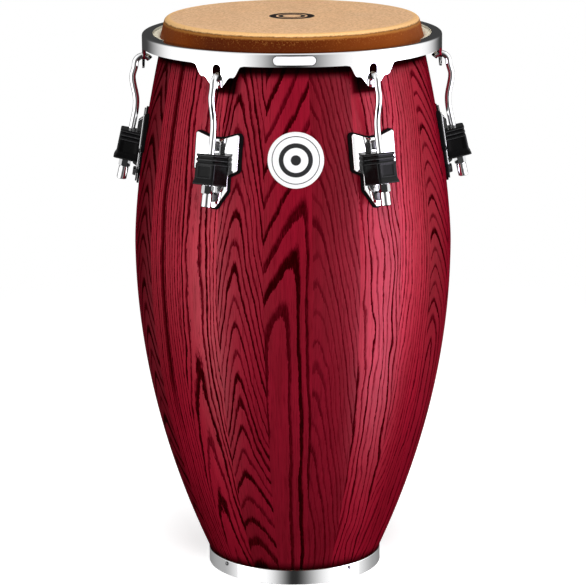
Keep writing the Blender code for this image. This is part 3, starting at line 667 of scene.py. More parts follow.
# Foot, side, rounded bearing edge, chamfer and bore as (radius, height)
def shellProfile():
    shape = shellShape
    seat, chamfer = shape["seatRadius"], shape["chamfer"]
    seatTop = bandShape["height"] + touchGap
    sideTop = edgeHeight + shape["edgeRadius"] * sin(edgeLean)
    heights = np.linspace(seatTop, sideTop, staveSet["rows"])
    side = joined(shellRadius(heights), heights)
    edge = arc(edgeRadius, edgeHeight, shape["edgeRadius"], edgeLean, pi / 2, staveSet["edgeSteps"])[1:]
    boreTop = shellRadius(shape["top"] - 2 * chamfer) - shape["wall"]
    inner = np.linspace(shape["top"] - 2 * chamfer, 0, staveSet["boreRows"])
    bore = joined(np.maximum(shellRadius(inner), seat) - shape["wall"], inner)
    foot = [(seat, 0), (seat, bandShape["height"]), (seat, seatTop)]
    return np.concatenate([foot, side, edge, [(boreTop + chamfer, shape["top"])], bore])


# Painted shade on the lacquer where the light is kept off: smooth steps under the rim's band,
# behind its ears and close above the foot band
def paintedShade(turn, z):
    shape = shellShape
    band = smoothFrom(z, shape["shadeFoot"], shape["shadeTop"])
    apart = 2 * pi / stationCount
    nearest = (turn - stationTurn(1) + apart / 2) % apart - apart / 2
    across = np.abs(nearest) * shape["bearingRadius"]
    ear = smoothFrom(across, shape["earShadeOuter"], shape["earShadeInner"])
    ear = ear * smoothFrom(z, shape["earShadeFoot"], shape["earShadeTop"])
    foot = smoothFrom(z, shape["footShadeTop"], bandShape["height"])
    return np.maximum(np.maximum(band, ear) * shape["paintedShade"], foot * shape["footShade"])


# The profile turned round Z; each face's uv is its place across its stave and up the profile
def makeShell():
    profile = shellProfile()
    rows, perStave, count = len(profile), staveSet["columns"], staveSet["count"]
    columns = perStave * count
    step = 2 * pi / count
    turn = -pi / 2 + staveSet["firstEdge"] + step * np.arange(columns) / perStave
    rings = onCircle(profile[:, :1], turn, profile[:, 1:])
    mesh = makePiece("ashShell", rings, ash, "shell", ["shell"], closed=True, weld=False).data
    faceRow, faceColumn = np.divmod(np.arange(rows * columns), columns)
    cornerRow = (faceRow[:, None] + np.array([0, 0, 1, 1])) % rows
    share = ((faceColumn % perStave)[:, None] + np.array([0, 1, 1, 0])) / perStave
    run = np.concatenate([[0], np.cumsum(np.hypot(*np.diff(profile, axis=0).T))])
    addUv(mesh, "staveUv", joined((share - 0.5) * step * profile[cornerRow, 0], run[cornerRow]))
    stave = faceColumn // perStave
    table = staveTable()[stave]
    table[:, 3] = 1 / table[:, 3]  # the shader takes rings to the metre
    table = np.insert(table, 7, stave + 0.5, axis=1)  # and a seed beside the brightness
    names = ("staveCut", "staveGrain", "staveTone", "staveSides", "staveReach", "staveOpen")
    for name, values in zip(names, np.split(table, len(names), axis=1)):
        addAttribute(mesh, name, "FLOAT_VECTOR", "FACE", values)
    # painted shade, one number for each point
    addAttribute(mesh, "paintedShade", "FLOAT", "POINT", paintedShade(turn, rings[..., 2]))
    mesh.materials.append(bareAsh)
    outsideRow = faceRow - staveSet["footRows"]
    outside = (outsideRow >= 0) & (outsideRow < staveSet["rows"])
    mesh.polygons.foreach_set("material_index", np.where(outside, 0, 1).astype(np.int32))


makeShell()
print("shell made")


# Foot band, a rounded strip turned round Z, and its screws

def makeBand():
    shape = bandShape
    inner, r = shape["outer"] - shape["thickness"], shape["edge"]
    corners = [(inner, 0), (shape["outer"], 0), (shape["outer"], shape["height"]), (inner, shape["height"])]
    profile = roundedOutline(corners, [r * 0.4, r * 0.3, r, r * 0.4], 3, 4)
    rings = turned(profile, shape["columns"])
    makePiece("footBand", rings, chrome, "shell", ["bottom_band"], 10, closed=True)


# Slot, dome, flat and shank as (radius, height), turned about the screw's own axis
screwShape = {
    "count": 4, "columns": 20,
    "profile": ((0.0, 0.0011), (0.0006, 0.0005), (0.0009, 0.0013), (0.0016, 0.0012), (0.0023, 0.0008),
                (0.0026, 0.0002), (0.0026, 0.0), (0.0012, -0.0002), (0.0012, -0.006), (0.0, -0.0075)),
}


def makeBandScrews():
    across, up, out = np.moveaxis(turned(screwShape["profile"], screwShape["columns"]), -1, 0)
    for number in range(1, screwShape["count"] + 1):
        low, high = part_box(f"band_screw_{number}")
        middle = (low + high) / 2
        spot = joined(bandShape["outer"] + touchGap + out, across, middle.z + up)
        points = turnedBy(spot, atan2(middle.y, middle.x))
        makePiece(f"bandScrew{number}", points, steel, "shell", [f"band_screw_{number}"], 50)


makeBand()
makeBandScrews()
print("foot made")


# Head: the hide runs over the bearing edge, down outside the shell and round the hoop

headShape = {
    "thickness": 0.0022, "wire": 0.004, "hoopHeight": 0.6829, "runningGap": 0.0010, "lapSteps": 7,
    "columns": 216, "flatRings": 24, "edgeRings": 14, "sideSteps": 13, "lapRings": 40,
    "creaseAfter": 0.0062, "fleshMark": -0.05,
    # puckers of the collar: height, lengths over which they fade, then count, share and phase
    "pucker": 0.00012, "puckerFade": (0.02, 0.01), "waves": ((60, 1.0, 0.0), (37, 0.6, 1.0)),
}
hideMiddle = touchGap + headShape["thickness"] / 2
edgeBend = shellShape["edgeRadius"] + hideMiddle
lapInner = (headShape["wire"] + touchGap) / cos(pi / (headShape["lapSteps"] + 1))
lapBend = lapInner + headShape["thickness"] / 2
lapRadius = lapInner + headShape["thickness"]
hoopRadius = float(shellRadius(headShape["hoopHeight"])) + headShape["runningGap"] + lapRadius


# Middle line of the hide: (radius, height, direction of its outer side)
def hidePath():
    hoopHeight = headShape["hoopHeight"]
    across, down = hoopRadius - edgeRadius, hoopHeight - edgeHeight
    lean = atan2(down, across) - asin((edgeBend + lapBend) / hypot(across, down)) + pi / 2
    top = shellShape["top"] + hideMiddle
    flat = [(r, top, pi / 2) for r in np.linspace(0, edgeRadius - 0.002, headShape["flatRings"])]
    turns = np.linspace(pi / 2, lean, headShape["edgeRings"])
    edge = [(edgeRadius + edgeBend * cos(t), edgeHeight + edgeBend * sin(t), t) for t in turns]
    tuck = lean + acos(-lapInner / lapRadius) + 2 * pi
    wrap = np.linspace(lean + pi, tuck, headShape["lapRings"])
    lap = [(hoopRadius + lapBend * cos(t), hoopHeight + lapBend * sin(t), t - pi) for t in wrap]
    share = sharesBetween(headShape["sideSteps"])
    side = np.array(edge[-1]) * (1 - share) + np.array(lap[0]) * share
    return np.concatenate([flat, edge, side, lap])


# Both faces of the hide turned round Z: middle line plus and minus half the thickness, the
# outer one swollen by two waves round the collar. The hide is flat as far as edgeRadius along.
def makeHead():
    shape = headShape
    path = hidePath()
    line = path[:, :2]
    run = np.concatenate([[0], np.cumsum(np.hypot(*np.diff(line, axis=0).T))])
    outward = joined(np.cos(path[:, 2]), np.sin(path[:, 2])) * shape["thickness"] / 2
    outward[0] = (0, shape["thickness"] / 2)
    profile = np.concatenate([line + outward, (line - outward)[::-1]])
    turn = evenTurns(shape["columns"])
    fadeIn, fadeOut = shape["puckerFade"]
    collarShare = smooth((run - edgeRadius) / fadeIn) * smooth((run[-1] - run) / fadeOut)
    wave = sum(part * np.sin(turn * count + phase) for count, part, phase in shape["waves"])
    swell = np.zeros((len(profile), shape["columns"]))
    swell[:len(path)] = collarShare[:, None] * wave * shape["pucker"]
    rings = onCircle(profile[:, :1] + swell, turn, profile[:, 1:])
    hide = newMaterial("rawhide", hideRecipe, edge=edgeRadius, crease=edgeRadius + shape["creaseAfter"])
    piece = makePiece("hideHead", rings, hide, "head", ["drum_skin"], 60, closed=True, weld=False)
    along = np.concatenate([run, np.full(len(path), shape["fleshMark"])])
    addAttribute(piece.data, "along", "FLOAT", "POINT", np.repeat(along, shape["columns"]))
    weldMesh(piece.data)


makeHead()
refinish("flesh_hoop", steel)
print("head made")


# Rim: one pressed sheet, drawn as its outside and given its thickness inwards

rimShape = {
    "radius": 0.1880, "thickness": 0.0028, "corner": 0.0030, "lip": 0.0135, "edge": 0.6753,
    "shoulder": 0.6608, "tip": 0.6473, "earHalf": 0.0330, "neckHalf": 0.0220, "tipHalf": 0.0185,
    "tipFlatHalf": 0.0040, "slotHalf": 0.0055, "slotTop": 0.6762, "slotFoot": 0.65783,
    "patchHalf": 0.0360, "patchSteps": 36, "betweenSteps": 40, "slotRings": 7, "patchSideSteps": 6,
    "cornerSteps": 6, "softening": 0.0005,
}
rimTop = headShape["hoopHeight"] + touchGap + rimShape["thickness"] + sqrt(
    lapRadius ** 2 - (rimShape["radius"] - rimShape["lip"] - hoopRadius) ** 2)
bandTop = rimTop - rimShape["corner"]


# Lower edge at a distance along the rim from an ear's middle: a smooth step down to the
# shoulders and one more down to the tip
def earEdge(along):
    shape = rimShape
    shoulder = smoothFrom(np.abs(along), shape["earHalf"], shape["neckHalf"])
    tip = smoothFrom(np.abs(along), shape["tipHalf"], shape["tipFlatHalf"])
    drop = (shape["edge"] - shape["shoulder"]) * shoulder
    return shape["edge"] - drop - (shape["shoulder"] - shape["tip"]) * tip


# Distance from the slot's middle to its outline in a direction: a stadium is where a circle's
# centre slides between two heights
def slotReach(direction, middle):
    half = rimShape["slotHalf"]
    reach = np.full(len(direction), half)
    dx, dz = np.cos(direction), np.sin(direction)
    for sign, centre in ((1, rimShape["slotTop"] - half), (-1, rimShape["slotFoot"] + half)):
        offset = centre - middle
        cap = offset * dz + np.sqrt(np.maximum(half ** 2 - (offset * dx) ** 2, 0))
        side = half / np.maximum(np.abs(dx), 1e-6)
        useSide = side * np.abs(dz) < np.abs(offset)
        reach = np.where(dz * sign > 0, np.where(useSide, side, cap), reach)
    return reach


# One ear as rings between the slot and a frame round the ear: (1 - t) * slot + t * frame
def earPatch(across, rise):
    half = rimShape["patchHalf"]
    sides = [joined(across, earEdge(across)), joined(half, rise), joined(across[::-1], bandTop),
             joined(-half, rise[::-1])]
    outline = np.concatenate([side[:-1] for side in sides])
    middle = (rimShape["slotTop"] + rimShape["slotFoot"]) / 2
    direction = np.arctan2(outline[:, 1] - middle, outline[:, 0])
    reach = slotReach(direction, middle)
    slot = joined(reach * np.cos(direction), middle + reach * np.sin(direction))
    t = np.linspace(0, 1, rimShape["slotRings"] + 1)[:, None, None] ** 1.4
    return slot * (1 - t) + outline * t


# A flat place along the rim wrapped onto it: the angle is the length over the radius
def wrapped(along, height, number):
    return onCircle(rimShape["radius"], stationTurn(number) + along / rimShape["radius"], height)


# A sheet given a thickness: every point again, moved back against its own direction, and a
# wall between the two sheets along each edge that only one face has
def thickened(points, quads, normals, thickness):
    _, first, place = np.unique(np.round(points / 0.0000037), axis=0, return_index=True, return_inverse=True)
    points, normals, quads = points[first], normals[first], place.reshape(-1)[quads]
    count = len(points)
    edges = joined(quads, np.roll(quads, -1, axis=1)).reshape(-1, 2)
    code = edges.min(axis=1) * count + edges.max(axis=1)
    _, found, times = np.unique(code, return_index=True, return_counts=True)
    start, end = edges[found[times == 1]].T
    walls = joined(end, start, start + count, end + count)
    backs = quads[:, ::-1] + count
    return np.concatenate([points, points - normals * thickness]), np.concatenate([quads, backs, walls])


# Six ears, six runs between them and one turned top, joined where they meet
def makeRim():
    shape = rimShape
    radius, half = shape["radius"], shape["patchHalf"]
    points, normals, faces = [], [], []

    def add(block, direction, closeColumns=True):
        start = sum(len(part) for part in points)
        points.append(block.reshape(-1, 3))
        normals.append(direction.reshape(-1, 3))
        faces.append(gridQuads(*block.shape[:2], closeColumns=closeColumns) + start)

    gap = 2 * pi * radius / stationCount - 2 * half
    between = half + gap * np.arange(shape["betweenSteps"] + 1) / shape["betweenSteps"]
    rise = np.linspace(shape["edge"], bandTop, shape["patchSideSteps"] + 1)
    across = np.linspace(-half, half, shape["patchSteps"] + 1)
    patch = earPatch(across, rise)
    outwards = np.array((1, 1, 0)) / radius
    turns = []
    for number in range(1, stationCount + 1):
        block = wrapped(patch[..., 0], patch[..., 1], number)
        add(block, block * outwards)
        block = wrapped(*np.meshgrid(between, rise), number)
        add(block, block * outwards, closeColumns=False)
        turns.append(stationTurn(number) + np.concatenate([across[:-1], between[:-1]]) / radius)
    turns = np.concatenate(turns)
    corner = arc(radius - shape["corner"], bandTop, shape["corner"], 0, pi / 2, shape["cornerSteps"])
    lip = np.linspace(corner[-1], (radius - shape["lip"], rimTop), 5)[1:]
    profile = np.concatenate([corner, lip])
    bend = np.concatenate([np.linspace(0, pi / 2, len(corner)), np.full(len(lip), pi / 2)])[:, None]
    add(onCircle(profile[:, :1], turns, profile[:, 1:]), onCircle(np.cos(bend), turns, np.sin(bend)))
    sheet = (np.concatenate(part) for part in (points, faces, normals))
    solid, quads = thickened(*sheet, shape["thickness"])
    rim = makePiece("rimHoop", solid, chrome, "head", ["rim"], 40, quads=quads)
    soften = rim.modifiers.new("edges", "BEVEL")
    soften.width = shape["softening"]
    soften.segments = 2
    soften.limit_method = "ANGLE"
    soften.angle_limit = radians(50)


makeRim()
print("rim made")


# Blank plate on the rim's front, with a dark border

plaqueShape = {
    "length": 0.0530, "height": 0.0122, "middle": 0.6832, "azimuth": radians(-0.3), "clearance": 0.00005,
    # size as a share and lift of each ring, from the rim out and in to the middle line
    "rows": ((1.0, 0.0), (1.0, 0.0004), (0.985, 0.00048), (0.9, 0.00048), (0.88, 0.00028), (0.5, 0.00028),
             (0.0, 0.00028)),
    "borderRows": 4,
}


# Rings of an oval, wrapped onto the rim: its outer half inset evenly, its inner half flattened
def makePlaque():
    shape = plaqueShape
    end = shape["height"] / 2
    halfRun = shape["length"] / 2 - end
    right = arc(halfRun, 0, end, -pi / 2, pi / 2, 20)
    left = arc(-halfRun, 0, end, pi / 2, 3 * pi / 2, 20)
    share = sharesBetween(16)
    outline = np.concatenate([right, right[-1] * (1 - share) + left[0] * share,
                              left, left[-1] * (1 - share) + right[0] * share])
    rings = []
    for share, lift in shape["rows"]:
        inset = insetOutline(outline, (1 - share) * end)
        if share <= 0.5:
            inset = joined(np.clip(outline[:, 0], -halfRun, halfRun), outline[:, 1] * share)
        turn = -pi / 2 + shape["azimuth"] + inset[:, 0] / rimShape["radius"]
        radius = rimShape["radius"] + shape["clearance"] + lift
        rings.append(onCircle(radius, turn, shape["middle"] + inset[:, 1]))
    mesh = makePiece("blankPlaque", np.array(rings), nylon, "head", [], weld=False).data
    mesh.materials.append(badgeFace)
    rowOf = np.arange(len(mesh.polygons)) // len(outline)
    mesh.polygons.foreach_set("material_index", (rowOf >= shape["borderRows"]).astype(np.int32))
    addUv(mesh, "faceUv", np.full(len(mesh.loops) * 2, 0.05))  # past the badge's rings, so bare


makePlaque()


# Tuning lugs: a round rod carried along a path in the station's plane

lugShape = {
    "radius": 0.0040, "hook": 0.0102, "wrap": radians(145), "apex": 0.6623,
    "bulge": (0.2004, 0.6360), "waist": (0.1963, 0.6060), "straight": 0.5880, "end": 0.5150,
    "sides": 28, "rounding": 0.0007, "steps": (26, 12, 14, 12, 8),
}


def rodAxisRadius(height):
    return rodFootRadius + (rodFootHeight - height) * tan(rodTilt)


# The radius between two bends is a cubic of the height that leaves the first upright and
# enters the second with a slope
def betweenBends(first, second, slope, steps):
    share = np.linspace(0, 1, steps + 1)[1:]
    drop = first[1] - second[1]
    swing = (3 * share ** 2 - 2 * share ** 3) * (second[0] - first[0])
    radius = first[0] + swing + (share ** 3 - share ** 2) * slope * drop
    return joined(radius, first[1] - share * drop)


# Hook as an arc, three bends and a straight end, as (radius, height); each end has one more
# point close to it, where the rounding starts
def lugPath():
    shape = lugShape
    hookRadius = rimShape["radius"] - rimShape["thickness"] / 2
    steps = shape["steps"]
    hook = arc(hookRadius, shape["apex"] - shape["hook"], shape["hook"], shape["wrap"], 0, steps[0])
    straight, end = ((rodAxisRadius(shape[name]), shape[name]) for name in ("straight", "end"))
    runs = [hook, betweenBends(hook[-1], shape["bulge"], 0, steps[1]),
            betweenBends(shape["bulge"], shape["waist"], 0, steps[2]),
            betweenBends(shape["waist"], straight, tan(rodTilt), steps[3])]
    share = np.linspace(0, 1, steps[4] + 1)[1:, None]
    path = np.concatenate(runs + [np.array(straight) * (1 - share) + np.array(end) * share])
    first = path[:1] + (path[1:2] - path[:1]) * 0.25
    last = path[-1:] + (path[-2:-1] - path[-1:]) * 0.1
    return np.concatenate([path[:1], first, path[1:-1], last, path[-1:]])


# Tube: path point + radius * (cos a * side + sin a * across), with both ends rounded
def tube(path, radius, sides, rounding):
    run = np.gradient(path, axis=0)
    run /= np.linalg.norm(run, axis=1, keepdims=True)
    path, run = (np.pad(each, ((1, 1), (0, 0)), "edge") for each in (path, run))
    radii = np.full((len(path), 1), radius)
    radii[[0, -1]] = radius * 0.001
    radii[[1, -2]] = radius - rounding
    x, y, _ = np.moveaxis(onCircle(radii, evenTurns(sides), 0), -1, 0)
    return joined(path[:, :1] + x * run[:, 1:], y, path[:, 1:] - x * run[:, :1])


lugRings = tube(lugPath(), lugShape["radius"], lugShape["sides"], lugShape["rounding"])
makeAtStations("lug{}", lugRings, chromeRod, "lug_{}", ["tuning_lug_{}"], 50)
print("lugs made")


# Hexagon pieces: rows of (kind, size, height), where a hexagon row's corners drop away as a
# turned chamfer leaves them: height = edge - (hexagon radius - face radius) * tan 30

chamferSlope = 0.58


def stackRows(rows, sides, acrossFlats, twist=0.0):
    turn = evenTurns(sides)
    wedge = (turn + twist + pi / 6) % (pi / 3) - pi / 6
    flat = acrossFlats / 2 / np.cos(wedge)
    drop = {"round": 0, "hex": 0, "hexTop": chamferSlope, "hexFoot": -chamferSlope}
    rings = []
    for kind, size, height in rows:
        reach = size if kind == "round" else flat * size
        rings.append(onCircle(reach, turn, height - (flat - acrossFlats / 2) * drop[kind]))
    return np.array(rings)


nutShape = {
    "flats": 0.0130, "hex": 0.0100, "sleeve": 0.0062, "sleeveLength": 0.0162, "bore": 0.0042, "sides": 48,
    "face": 0.97, "chamfer": 0.0002, "neck": 0.93, "neckFoot": (0.0009, 0.0013), "edge": 0.0008,
    "mouth": 0.0009,
}


# Hexagon, neck and sleeve round a bore, from the block down the rod
def makeNuts():
    shape = nutShape
    top, hexFoot = -touchGap, -touchGap - shape["hex"]
    foot = hexFoot - shape["sleeveLength"]
    face, neck = shape["flats"] / 2 * shape["face"], shape["sleeve"] * shape["neck"]
    neckFoot, sleeveTop = (hexFoot - drop for drop in shape["neckFoot"])
    bore, sleeve, edge, mouth = shape["bore"], shape["sleeve"], shape["edge"], shape["mouth"]
    rows = [("round", bore, top), ("round", face, top), ("hexTop", 1, top - shape["chamfer"]),
            ("hexFoot", 1, hexFoot + shape["chamfer"]), ("round", face, hexFoot), ("round", neck, hexFoot),
            ("round", neck, neckFoot), ("round", sleeve, sleeveTop),
            ("round", sleeve, foot + edge), ("round", sleeve - edge, foot),
            ("round", bore + mouth, foot), ("round", bore, foot + mouth), ("round", bore, (top + foot) / 2)]
    rings = fromRod(stackRows(rows, shape["sides"], shape["flats"], pi / 6))
    makeAtStations("nut{}", rings, chromeRod, "nut_{}", ["tuning_nut_{}"], 28, closed=True)


makeNuts()


# Side plates: their frame lies on the middle of the plate's front face

plateShape = {
    "middle": 0.5500, "corner": 0.5930, "notch": 0.5855, "wing": 0.5490, "step": 0.5430, "foot": 0.5240,
    "tip": 0.5035, "half": 0.0297, "footHalf": 0.0172, "tipHalf": 0.0030, "bracketHalf": 0.0065,
    "thickness": 0.0020, "gasket": 0.0018, "border": 0.0024, "rib": 0.0015, "ribDepth": 0.0060,
    "ribTop": 0.5860, "ribFoot": 0.5225, "ribSlopes": (0.004, 0.006), "ribEdge": 0.0003,
    "ribBack": -0.001, "ribRounding": (0.0002, 0.003, 0.004, 0.0002),
    "centre": 0.5480, "edge": 0.0004, "rounding": 0.0024, "gasketRounding": 0.0030,
}
plateLean = atan((shellRadius(plateShape["tip"]) - shellRadius(plateShape["corner"]))
                 / (plateShape["corner"] - plateShape["tip"]))
plateRadius = float(shellRadius(plateShape["middle"])) + (
    2 * touchGap + plateShape["gasket"] + plateShape["thickness"]) / cos(plateLean)


def fromPlate(points):
    return leaning(points, plateRadius, plateShape["middle"], plateLean)


def upPlate(height):
    return (height - plateShape["middle"]) / cos(plateLean)


plateCentre = np.array([0.0, upPlate(plateShape["centre"])])


# Right half of the outline as (across, up), then its mirror image
def plateOutline(rounding):
    places = (("bracketHalf", "notch", 0.6), ("half", "corner", 1.0), ("half", "wing", 1.0),
              ("footHalf", "step", 1.6), ("footHalf", "foot", 1.2), ("tipHalf", "tip", 1.2))
    half = [(plateShape[across], upPlate(plateShape[up])) for across, up, _ in places]
    radii = [rounding * size for _, _, size in places]
    return roundedOutline(half + [(-y, z) for y, z in half[::-1]], radii + radii[::-1], 5, 5)


# Slabs: rings of an outline go out over one face, up the side and in again over the other.
# First the plates, whose rings lie across, then their two ribs, whose rings stand on edge.
def makePlates():
    shape = plateShape
    t, edge = shape["thickness"], shape["edge"]
    outline = plateOutline(shape["rounding"])
    rows = [(0.0, 0, -t), (1.0, edge, -t), (1.0, 0, edge - t), (1.0, 0, -edge),
            (1.0, edge * 0.35, -edge * 0.3), (1.0, edge, 0.0), (0.6, edge, 0.0), (0.0, 0, 0.0)]
    rings = [joined(x, *drawnIn(outline, plateCentre, share, inset).T) for share, inset, x in rows]
    makeAtStations("sidePlate{}", fromPlate(rings), chrome, "shell", ["side_plate_{}"], 30)

    low, high = upPlate(shape["ribFoot"]), upPlate(shape["ribTop"])
    back, depth, (lower, upper) = shape["ribBack"], shape["ribDepth"], shape["ribSlopes"]
    corners = [(back, low), (depth, low + lower), (depth, high - upper), (back, high)]
    outline = roundedOutline(corners, shape["ribRounding"], 5, 3)
    middle, half, edge = outline.mean(axis=0), shape["rib"] / 2, shape["ribEdge"]
    rows = [(0.0, 0, -half), (1, edge, -half), (1, 0, edge - half), (1, 0, half - edge), (1, edge, half),
            (0.0, 0, half)]
    for letter, side in (("L", -1), ("R", 1)):
        inner = side * (shape["bracketHalf"] + half)
        rings = []
        for share, inset, y in rows:
            out, up = drawnIn(outline, middle, share, inset).T
            rings.append(joined(out, inner + y, up))
        makeAtStations("plateRib{}" + letter, fromPlate(rings), chrome, "shell", [], 30)


makePlates()
print("plates made")


# Gaskets: flat against the plate, and moulded to the shell behind

# Where a point straight behind the plate meets the shell, in steps of what is still missing
def behindPlate(y, z):
    x = np.full(len(y), -0.004)
    for _ in range(10):
        place = fromPlate(joined(x, y, z))
        x = x - (np.hypot(place[:, 0], place[:, 1]) - shellRadius(place[:, 2]) - touchGap)
    return x


# Rings of a wider outline, each a depth behind the gasket's front or else on the shell
def makeGaskets():
    front = -plateShape["thickness"] - touchGap
    outline = insetOutline(plateOutline(plateShape["gasketRounding"]), -plateShape["border"])
    rings = []
    for share, inset, depth in ((0.3, 0, 0), (1.0, 0.0009, 0), (1.0, 0.0002, 0.0003), (1.0, 0, 0.0009),
                                (1.0, 0, None), (0.3, 0, None)):
        across, up = drawnIn(outline, plateCentre, share, inset).T
        out = behindPlate(across, up) if depth is None else front - depth
        rings.append(joined(out, across, up))
    makeAtStations("gasket{}", fromPlate(rings), rubber, "shell", ["gasket_{}"], 40,
                   closed=True)


makeGaskets()


# Isolating blocks: a rounded trapezium carried up the rod, with grooves, a flared foot and
# shallow panels in the front and the sides

blockShape = {
    "length": 0.0375, "front": 0.0135, "frontHalf": 0.0132, "backHalf": 0.0168, "round": 0.0026,
    "flare": 0.0022, "flareHeight": 0.0075, "edge": 0.0010, "bore": 0.0046,
    "grooves": (0.0045, 0.0100), "grooveDepth": 0.0012, "grooveWidth": 0.0016,
    "panelDepth": 0.0005, "panelHalf": 0.0092, "panelLow": 0.0090, "panelHigh": 0.0245,
    "panelSlope": 0.0012, "panelMargin": 0.0042, "frontMargin": 0.0005, "sideMargin": 0.0015,
    "backRound": 0.0006, "grooveSharpness": 1.4, "flareSide": 0.4, "flareFall": 0.8, "steps": (4, 64),
}


# How far behind the rod's axis the plate's front face lies, at a place along the rod
def behindRod(along):
    radius = rodFootRadius - along * sin(rodTilt)
    height = rodFootHeight + along * cos(rodTilt)
    plate = plateRadius - (height - plateShape["middle"]) * tan(plateLean)
    return (plate - radius) * cos(plateLean) / cos(rodTilt - plateLean)


def blockSection(along, inset, flare):
    shape = blockShape
    back, front = behindRod(along) + touchGap, shape["front"] - inset + flare
    backHalf = shape["backHalf"] - inset
    frontHalf = shape["frontHalf"] - inset + flare * shape["flareSide"]
    corners = [(back, -backHalf), (front, -frontHalf), (front, frontHalf), (back, backHalf)]
    radii = [shape["backRound"], shape["round"], shape["round"], shape["backRound"]]
    return roundedOutline(corners, radii, 7, 12)


# Section * height along the rod: the inset is a bell at each groove plus the rounded edge,
# the flare a smooth fall from the foot, and a panel a product of smooth steps
def blockRings():
    shape = blockShape
    length, edge, slope = shape["length"], shape["edge"], shape["panelSlope"]
    edgeSteps, sideSteps = shape["steps"]
    heights = np.concatenate([np.linspace(0, edge, edgeSteps),
                              np.linspace(edge, length - edge, sideSteps)[1:-1],
                              np.linspace(length - edge, length, edgeSteps)])
    rings = []
    for along in heights:
        fromGrooves = (length - along - np.array(shape["grooves"])) / shape["grooveWidth"]
        groove = np.sum(np.exp(-fromGrooves ** 2 * shape["grooveSharpness"]))
        rounding = max(0.0, edge - along, along - (length - edge))
        inset = shape["grooveDepth"] * groove + edge - sqrt(max(0.0, edge ** 2 - rounding ** 2))
        flare = shape["flare"] * (1 - smooth(along / shape["flareHeight"])) ** shape["flareFall"]
        x, y = blockSection(along, inset, flare).T
        rise = smooth((along - shape["panelLow"]) / slope) * smooth((shape["panelHigh"] - along) / slope)
        onFront = smooth((shape["panelHalf"] - np.abs(y)) / slope)
        onFront = onFront * (x > shape["front"] - shape["frontMargin"])
        middle = (behindRod(along) + shape["front"]) / 2
        reach = (shape["front"] - behindRod(along)) / 2 - shape["panelMargin"]
        onSide = smooth((reach - np.abs(x - middle)) / slope)
        onSide = onSide * (np.abs(y) > shape["frontHalf"] - shape["sideMargin"])
        panel = shape["panelDepth"] * rise
        rings.append(joined(x - panel * onFront, y - np.sign(y) * panel * onSide, along))
    for ring, shares in ((rings[-1], (0.5, 1.0)), (rings[0], (1.0, 0.5))):
        bore = onCircle(shape["bore"], np.arctan2(ring[:, 1], ring[:, 0]), ring[:, 2])
        rings += [ring * (1 - share) + bore * share for share in shares]
    return np.array(rings)


rodRings = blockRings()
for block in makeAtStations("block{}", fromRod(rodRings), nylon, "shell", ["isolator_block_{}"],
                            40, closed=True, weld=False):
    addAttribute(block.data, "blockPlace", "FLOAT_VECTOR", "POINT", rodRings)
print("blocks made")


# Plate bolts: hexagon heads on a washer face, square to the plate

boltShape = {
    "flats": 0.0100, "head": 0.0040, "radius": 0.0025, "upper": 0.5767, "lower": 0.5157, "reach": 0.0262,
    "sides": 36, "washer": 0.0008, "face": 0.93, "flange": 1.2,
}


def makeBolts():
    shape = boltShape
    face, washer, top = shape["flats"] / 2, shape["washer"] + touchGap, shape["head"] + touchGap
    shank, wide = shape["radius"], face * shape["flange"]
    rows = [("round", 0.0, top), ("round", face * shape["face"], top), ("hexTop", 1, shape["head"]),
            ("hex", 1, washer), ("round", wide, washer), ("round", wide, touchGap),
            ("round", shank, touchGap), ("round", shank, -shape["reach"]), ("round", 0.0, -shape["reach"])]
    across, up, out = np.moveaxis(stackRows(rows, shape["sides"], shape["flats"]), -1, 0)
    for level in ("upper", "lower"):
        points = fromPlate(joined(out, across, up + upPlate(shape[level])))
        makeAtStations(level + "Bolt{}", points, steel, "shell", [level + "_bolt_{}"], 28)


makeBolts()
for number in range(1, stationCount + 1):
    refinish(f"backing_plate_{number}", steel)


# Badge: rings about its middle, laid on the shell, with a raised border

badgeShape = {
    "radius": 0.0340, "height": 0.5630, "thickness": 0.0014, "border": 0.0016, "spokes": 96,
    "floor": 0.72, "shoulder": 0.7, "edge": 0.0003, "faceRings": 14, "faceMargin": 0.002,
}


# The height is the disc's own, leaned with the shell, and the angle the arcsine of x over the
# shell's radius there
def makeBadge():
    shape = badgeShape
    full, t, floor = shape["radius"], shape["thickness"], shape["thickness"] * shape["floor"]
    inside, edge = full - shape["border"], shape["edge"]
    rows = [(0.0, 0.0), (full, 0.0), (full, t * shape["shoulder"]), (full - edge, t), (inside, t),
            (inside - edge, floor)]
    rows += [(r, floor) for r in np.linspace(inside - shape["faceMargin"], 0, shape["faceRings"])]
    out, lift = np.array(rows).T[..., None]
    x, y, _ = np.moveaxis(onCircle(out, evenTurns(shape["spokes"]), 0), -1, 0)
    height = shape["height"] + y * cos(shellLean(shape["height"]))
    radius = shellRadius(height) + touchGap + lift
    points = onCircle(radius, -pi / 2 + np.arcsin(x / radius), height)
    mesh = makePiece("badgeDisc", points, badgeFace, "shell", ["badge"], 40, weld=False).data
    corners = np.array([loop.vertex_index for loop in mesh.loops])
    addUv(mesh, "faceUv", joined(x.ravel()[corners], y.ravel()[corners]))
    weldMesh(mesh)


makeBadge()
print("badge made")


# Camera: straight at the drum's axis from a little left of the badge

cameraSet = {
    "azimuth": radians(-1.2), "distance": 3.5147, "height": 1.1996, "pitch": radians(13.52),
    "roll": radians(-0.293), "focal": 2823.6, "frame": 586, "shift": -0.27,
}


